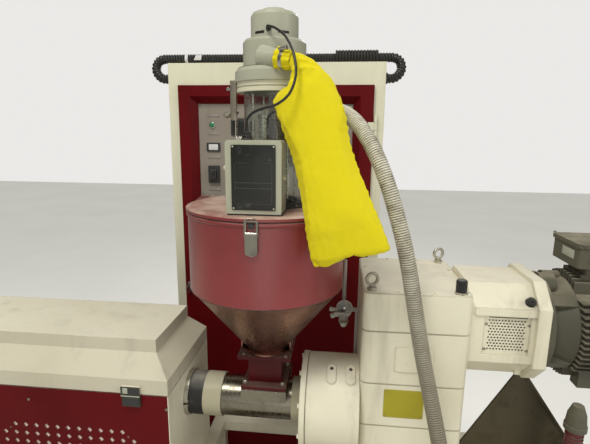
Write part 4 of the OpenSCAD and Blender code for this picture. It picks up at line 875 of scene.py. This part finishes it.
# Barrel line, bearing housing and gearbox
bolts = piece("housing_bolts", "white_bolt")
for a in turns(9, -15):
    bolts.bolt((124, -150 * cos(a), 150 * sin(a)), LEFT, 8)
taps = piece("valve_taps", "plate_grey")
taps.rod((236, 78, 306), (-22, -2, 2), [(0, 6), (16, 6), (17, 8), (28, 8), (29, 5)], 18)
taps.rod((238, 78, 288), (-24, -6, -4), [(0, 7), (14, 7), (15, 9), (26, 9), (27, 6)], 18)
taps.rod((258, 74, 262), (0, 0, -1), [(-1, 13), (6, 13), (7, 10), (14, 10)], 20)
piece("valve_clear_disc", "glass").rod((260, 71.5, 318), FRONT, [(-0.5, 27), (3, 27), (4, 25)], 48)
rim = piece("valve_disc_rim", "stainless")
rim.hoop((260, 68, 318), BACK, 26.5, 1.6, 60)
rim.rod((260, 72, 318), FRONT, [(-1, 5), (8, 5), (9, 3)], 16)
plugs = piece("housing_plugs", "black")
for x in (223, 285):
    plugs.rod((x, -58, 153.6), (0, -0.454, 0.891), [(-2, 5.9), (4, 5.9), (5, 4)], 18)
piece("housing_joint_line", "dark").band((142.5, 0, 0), RIGHT, -0.8, 0.8, 159.0, 160.6, 120)
bolts = piece("barrel_clamp_bolts", "bolt")
for z in (-8, 8):
    bolts.bolt((-266, -72, z), RIGHT, 3.5)
bolts.tube([(-214, 73.5 * cos(a), 73.5 * sin(a)) for a in turns(24)], 1.2, 6, closed=True)
plate("bare_oil_plate", "olive_plate", "y", (388, 34), (511, 130), 5, -116.3, -115.05, 0.4)
studs = piece("oil_plate_rivets", "bolt")
for x, z in product((394, 505), (40, 124)):
    studs.screw((x, -116.2, z), FRONT, 2.0)

GEARBOX_TOP = 444
breather = piece("breather_cap", "black")
breather.rod((604, -83, GEARBOX_TOP), UP, [(5, 14.6), (5.6, 15.6), (40.5, 15.6), (43, 13.5), (43.6, 9)])
for a in turns(18):
    breather.tube([around((604, -83, GEARBOX_TOP + z), a, 15.2) for z in (8, 40)], 1.1, 6)
breather.rod((604, -83, GEARBOX_TOP), UP, [(-0.2, 20), (3, 20), (5, 16)], 6)
bolts = piece("gearbox_bolts", "white_bolt")
for xs, ys in (((420, 530), (-97, 261)), ((331, 618), (20, 150))):
    for y, x in product(ys, xs):
        bolts.bolt((x, y, GEARBOX_TOP), UP, 6)


# Lantern and motor: the motor's axis, and the way the lantern's upper front facet looks
MOTOR_Y = 66
MOTOR_Z = 313
FACET = (0, -0.6925, 0.7214)


def round_motor(x, a, radius):
    """The point at angle a round the motor's axis."""
    return Vector((x, MOTOR_Y + radius * cos(a), MOTOR_Z + radius * sin(a)))


guard = piece("guard_screws", "bolt")
for x, z in product((687, 811), (268, 350)):
    guard.screw((x, -79.1, z), FRONT, 4.5)
    guard.screw((x, 211.1, z), BACK, 4.5)
# A dark strip under the ledge over the front guard: painted shadow.
piece("guard_top_shadow", "dark").block((693, -79.6, 371), (806, -77, 377.4), 0.5)
plug = piece("lantern_plug", "black")
plug.rod((812, -66, 418), FACET, [(-3, 15), (3, 15), (3.5, 13), (14, 12.6), (16, 10.5), (16.3, 5)])
plug.rod((812, -66, 418), FACET, [(16, 7), (21, 7), (21.5, 5)], 6)
bolts = piece("lantern_flange_bolts", "white_bolt")
for a in turns(8, 22.5):
    bolts.bolt(round_motor(828, a, 154.38), LEFT, 7)
motor = piece("motor_fasteners", "bolt")
for x, y in product((962, 1148), (-30, 158)):
    motor.screw((x, y, 593), UP, 5)
for a in turns(4, 45):
    motor.bolt(round_motor(1262, a, 176), (0, cos(a), sin(a)), 4)
motor.hoop((1190, MOTOR_Y, 494), (0.3, 1, 0), 16, 5, 36, 12)
motor.rod((1190, MOTOR_Y, 470), UP, [(0, 12), (7, 12), (8, 8), (12, 8)], 20)
plate("terminal_bare_label", "plate_grey", "x", (6, 540), (80, 567), 2, 953.9, 954.95, 0.2)
plate("motor_bare_plate", "stainless", "y", (1035, 292), (1115, 334), 3, -107.5, -106.2, 0.3)
glands = piece("terminal_glands", "black")
glands.rod((1010, -20, 545), FRONT, [(-0.5, 17), (6, 17), (7, 13), (14, 12.4), (15, 9)])
glands.rod((1080, -20, 545), FRONT, [(-0.5, 17), (6, 17), (7, 14), (10, 13.5), (11, 6)], 6)
ribs = piece("conduit_ribs", "conduit_red")
for k in range(26):
    ribs.hoop((972, -100, -286.5 + 12 * k), UP, 24.2, 2.2, 40, 8)
piece("conduit_sleeve", "conduit_red").band((972, -100, 0), UP, -299, 31, 22.0, 23.2, 40)
bolts = piece("support_bolts", "bolt")
for x in (670, 820, 1000, 1140):
    bolts.bolt((x, 60, -290), UP, 8)


# Barrel stand and cover
liner = piece("stand_liner", "liner")
liner.prism([(-1676, -930), (-284, -930), (-284, 60), (-1676, 60)], "y", -195.6, -194.4, 0.3)
for z in (-600, -280, 20):
    liner.tube([(-1640, -194, z), (-320, -194, z)], 3)
for x, end in ((-398, "front"), (-1562, "die")):
    for name, key, body, low, high, radius, near, far, soften in (
            ("keeper_", "latch_olive", "cover", (-31, 107), (32, 136), 3, -210.4, -208.7, 0.6),
            ("window_", "dark", "cover", (-6, 113), (27, 132), 2, -211.4, -210.2, 0.4),
            ("tab_", "plate_grey", "cover", (-24, 113), (-8, 132), 1.5, -211.0, -210.2, 0.3),
            ("catch_", "dark", "machine", (-25, 74), (27, 99), 3, -213.4, -211.8, 0.5)):
        low, high = (x + low[0], low[1]), (x + high[0], high[1])
        plate("cover_" + name + end, key, "y", low, high, radius, near, far, soften, body)
    lip = piece("cover_catch_lip_" + end, "plate_grey")
    lip.tube([(x - 30, -212.2, 105.5), (x + 31, -212.2, 105.5)], 1.6, 8)
panel = piece("panel_screws", "bolt")
for s, way in ((-1, FRONT), (1, BACK)):
    for x, z in product((-1672, -1210, -750, -288), (60, -905)):
        panel.screw((x, s * 200, z), way, 4.5)
    for x, z in product((-210, 450, 1110), (-358, -842)):
        panel.screw((x, s * 297, z), way, 5)
for name, body, z in (("cover_hinge_screws_low", "machine", 84), ("cover_hinge_screws_high", "cover", 134)):
    hinge = piece(name, "bolt", body)
    for x, aside in product((-480, -980, -1480), (-30, 30)):
        hinge.screw((x + aside, 203, z), BACK, 4)
terminals = piece("heater_terminals", "white")
for x in (-445, -755, -1065, -1375):
    terminals.prism(rounded((x - 50, -22), (x + 50, 22), 4), "z", 90, 122, 1.5)
    for aside in (-30, 30):
        terminals.rod((x + aside, 0, 122), UP, [(0, 7), (6, 7), (7, 3), (14, 3)], 14)


# Control cabinet: the conduit's bend, line and top, the side walls and the instrument panel's face
BEND = 45
CONDUIT_Y = 714
CONDUIT_TOP = 1248.3
CABINET_LEFT = -581
CABINET_RIGHT = 419
PANEL = 698


def conduit_end(x, s):
    """The conduit's turn from the cabinet's top into a side wall; s is -1 at the left, 1 at the right."""
    line = [Vector((x + s * BEND * sin(a), CONDUIT_Y, CONDUIT_TOP - BEND + BEND * cos(a)))
            for a in [pi * t / 14 for t in range(15)]]
    return line + [Vector((x - s * 24, CONDUIT_Y, CONDUIT_TOP - 2 * BEND))]


route = list(reversed(conduit_end(CABINET_LEFT - 24, -1))) + conduit_end(CABINET_RIGHT + 24, 1)
conduit = ribbed_hose("ribbed_conduit", "conduit_black", route, 21.5, 13.0, 4.5)
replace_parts(conduit, "cabinet_conduit")
sleeve_line = [Vector((x, CONDUIT_Y, 1254.3)) for x in (193, 288, 383)]
ribbed_hose("ribbed_sleeve", "conduit_black", sleeve_line, 29, 13.5, 5.0)
collars = piece("conduit_collars", "dark")
for s, x in ((-1, CABINET_LEFT), (1, CABINET_RIGHT)):
    collars.rod((x, CONDUIT_Y, CONDUIT_TOP - 2 * BEND), (s, 0, 0),
                [(-1, 29), (4, 29), (5, 26), (11, 25), (12, 21)], 6)
for x in (-520, -120, 60, 330):
    collars.prism(rounded((x - 7, 1226.2), (x + 7, 1272), 3), "y", 735.4, 738, 0.4)
    collars.block((x - 7, 734, 1226), (x + 7, 758, 1229), 0.8)
tie = piece("conduit_tie", "bare_white")
tie.band((-494, CONDUIT_Y, CONDUIT_TOP), RIGHT, -9, 5, 20.6, 22.2, 48)
tie.prism([(-460, 1240), (-425, 1240), (-420, 1262), (-448, 1262)], "y", 690.6, 692.0, 0.2)

bezel = piece("pilot_bezel", "stainless", "door")
bezel.rod((-381, PANEL, 948), FRONT, [(-0.5, 15), (4, 15), (5, 12.5)], 32)
lens = piece("pilot_lens", "green", "door")
lens.rod((-381, PANEL - 4.5, 948), FRONT, [(0, 12), (4, 11.6), (7, 9), (9, 5), (9.6, 1)], 28)
plate("meter_frame", "dark", "y", (-410, 824), (-345, 865), 3, PANEL - 7, PANEL - 0.1, 1.0, "door")
plate("meter_face", "bare_white", "y", (-400, 831), (-355, 858), 2, PANEL - 7.9, PANEL - 6.9, 0.3, "door")
switch = piece("main_switch", "dark", "door")
switch.prism(rounded((-404, 674), (-350, 757), 3), "y", PANEL - 14, PANEL - 0.1, 1.2)
switch.block((-392, PANEL - 30, 694), (-362, PANEL - 13, 738), 2)
switch.block((-384, PANEL - 44, 722), (-370, PANEL - 29, 736), 2)
strips = piece("bare_label_strips", "valve_grey", "door")
for z in (990, 906, 795, 640):
    strips.prism(rounded((-404, z - 5), (-347, z + 5), 1.5), "y", PANEL - 1.2, PANEL - 0.1, 0.2)
plate("panel_device_right", "box_grey", "y", (250, 960), (276, 1036), 3, PANEL - 6, PANEL - 0.1, 0.8, "door")
surrounds = piece("controller_frames", "dark", "door")
screens = piece("controller_faces", "face_black", "door")
for x, z in product((-250, -120, 10, 140), (940, 800)):
    surrounds.prism(rounded((x - 40, z - 40), (x + 40, z + 40), 4), "y", PANEL - 6, PANEL - 0.1, 1.0)
    screens.prism(rounded((x - 31, z - 24), (x + 31, z + 31), 2), "y", PANEL - 6.8, PANEL - 5.9, 0.2)
    for k in range(4):
        screens.rod((x - 24 + 16 * k, PANEL - 6, z - 32), FRONT, [(0, 4), (2, 4), (2.6, 3)], 16)
corners = piece("panel_corner_screws", "bolt", "door")
for x, z in product((-437, 270), (619, 1036)):
    corners.screw((x, PANEL, z), FRONT, 4)
lock = piece("door_lock", "stainless", "door")
lock.rod((-508, 660, 150), FRONT, [(-0.5, 15), (4, 15), (6, 13), (8, 13)], 32)
lock.prism(rounded((-512, 120), (-504, 180), 3), "y", 640, 652.5, 1.0)
lock.rod((-292, 660, 1108), FRONT, [(-0.5, 9), (2, 9), (3.4, 7), (3.6, 3)])
louvres = piece("cabinet_louvres", "cabinet_cream")
for z, x in product(range(200, 434, 26), (CABINET_LEFT, CABINET_RIGHT)):
    louvres.block((x - 2.5, 770, z), (x + 2.5, 990, z + 12), 1.2)
eyes = piece("cabinet_eyes", "bolt")
for x, y in product((-540, 378), (790, 1040)):
    eyes.hoop((x, y, 1252), (1, 0.4, 0), 15, 5, 32)
    eyes.rod((x, y, 1226), UP, [(0, 14), (6, 14), (8, 8), (12, 8)], 20)

for made in PIECES:
    made.make()


# Floor, backdrop light and lamps
net = Net("pale_floor")
pale = net.mix(net.ramp(net.noise(0.7, 3.0), 0.3, 0.7), (0.70, 0.69, 0.66), (0.75, 0.74, 0.71))
net.set(Base_Color=pale, Roughness=0.75, Emission_Color=(0.90, 0.89, 0.86))
floor_seen = net.node("LightPath").outputs["Is Camera Ray"]
net.set(Emission_Strength=net.times(floor_seen, 0.22))
net.bump(net.noise(90.0, 3.0), 0.0005, 0.3)
floor_data = bpy.data.meshes.new("floor")
FAR = 14.0
floor_data.from_pydata([(-FAR, -FAR, 0), (FAR, -FAR, 0), (FAR, FAR, 0), (-FAR, FAR, 0)], [], [(0, 1, 2, 3)])
floor_data.materials.append(net.mat)
linked("floor", floor_data)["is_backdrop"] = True

world = bpy.data.worlds.new("studio")
world.use_nodes = True
scene.world = world
tree = world.node_tree


def sky(colour, strength):
    """One even sky."""
    made = tree.nodes.new("ShaderNodeBackground")
    made.inputs["Color"].default_value = (*colour, 1.0)
    made.inputs["Strength"].default_value = strength
    return made.outputs["Background"]


def sky_mix(ray, below, above):
    """Shows one sky to a kind of ray and the other to the rest."""
    made = tree.nodes.new("ShaderNodeMixShader")
    tree.links.new(rays.outputs[ray], made.inputs["Fac"])
    tree.links.new(below, made.inputs[1])
    tree.links.new(above, made.inputs[2])
    return made.outputs["Shader"]


rays = tree.nodes.new("ShaderNodeLightPath")
lit = sky((0.97, 0.97, 0.90), 0.51)
mirrored = sky((0.93, 0.88, 0.76), 0.14)
backdrop = sky((0.90, 0.89, 0.87), 0.92)
chosen = sky_mix("Is Glossy Ray", lit, mirrored)
chosen = sky_mix("Is Transmission Ray", chosen, sky((0.90, 0.86, 0.78), 0.30))
chosen = sky_mix("Is Camera Ray", chosen, backdrop)
tree.links.new(chosen, tree.nodes["World Output"].inputs["Surface"])


def lamp(name, place, target, size, power, colour=(1.0, 1.0, 1.0)):
    """A round soft lamp at a place, turned to a target, both in millimetres."""
    data = given(bpy.data.lights.new(name, "AREA"), shape="DISK", size=size, energy=power, color=colour)
    turn = (at(*target) - at(*place)).to_track_quat("-Z", "Y")
    given(linked(name, data), location=at(*place), rotation_mode="QUATERNION", rotation_quaternion=turn)


lamp("key", (-700, -1800, 3900), (0, 0, 250), 1.3, 88, (1.0, 0.98, 0.90))
lamp("front", (300, -3000, 500), (0, 0, 350), 2.6, 13, (1.0, 0.98, 0.94))
lamp("fill", (3000, -1300, 1300), (300, 0, 200), 2.2, 24, (1.0, 0.98, 0.94))
lamp("rear", (600, 3600, 3300), (0, 400, 600), 2.4, 40)

low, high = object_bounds()
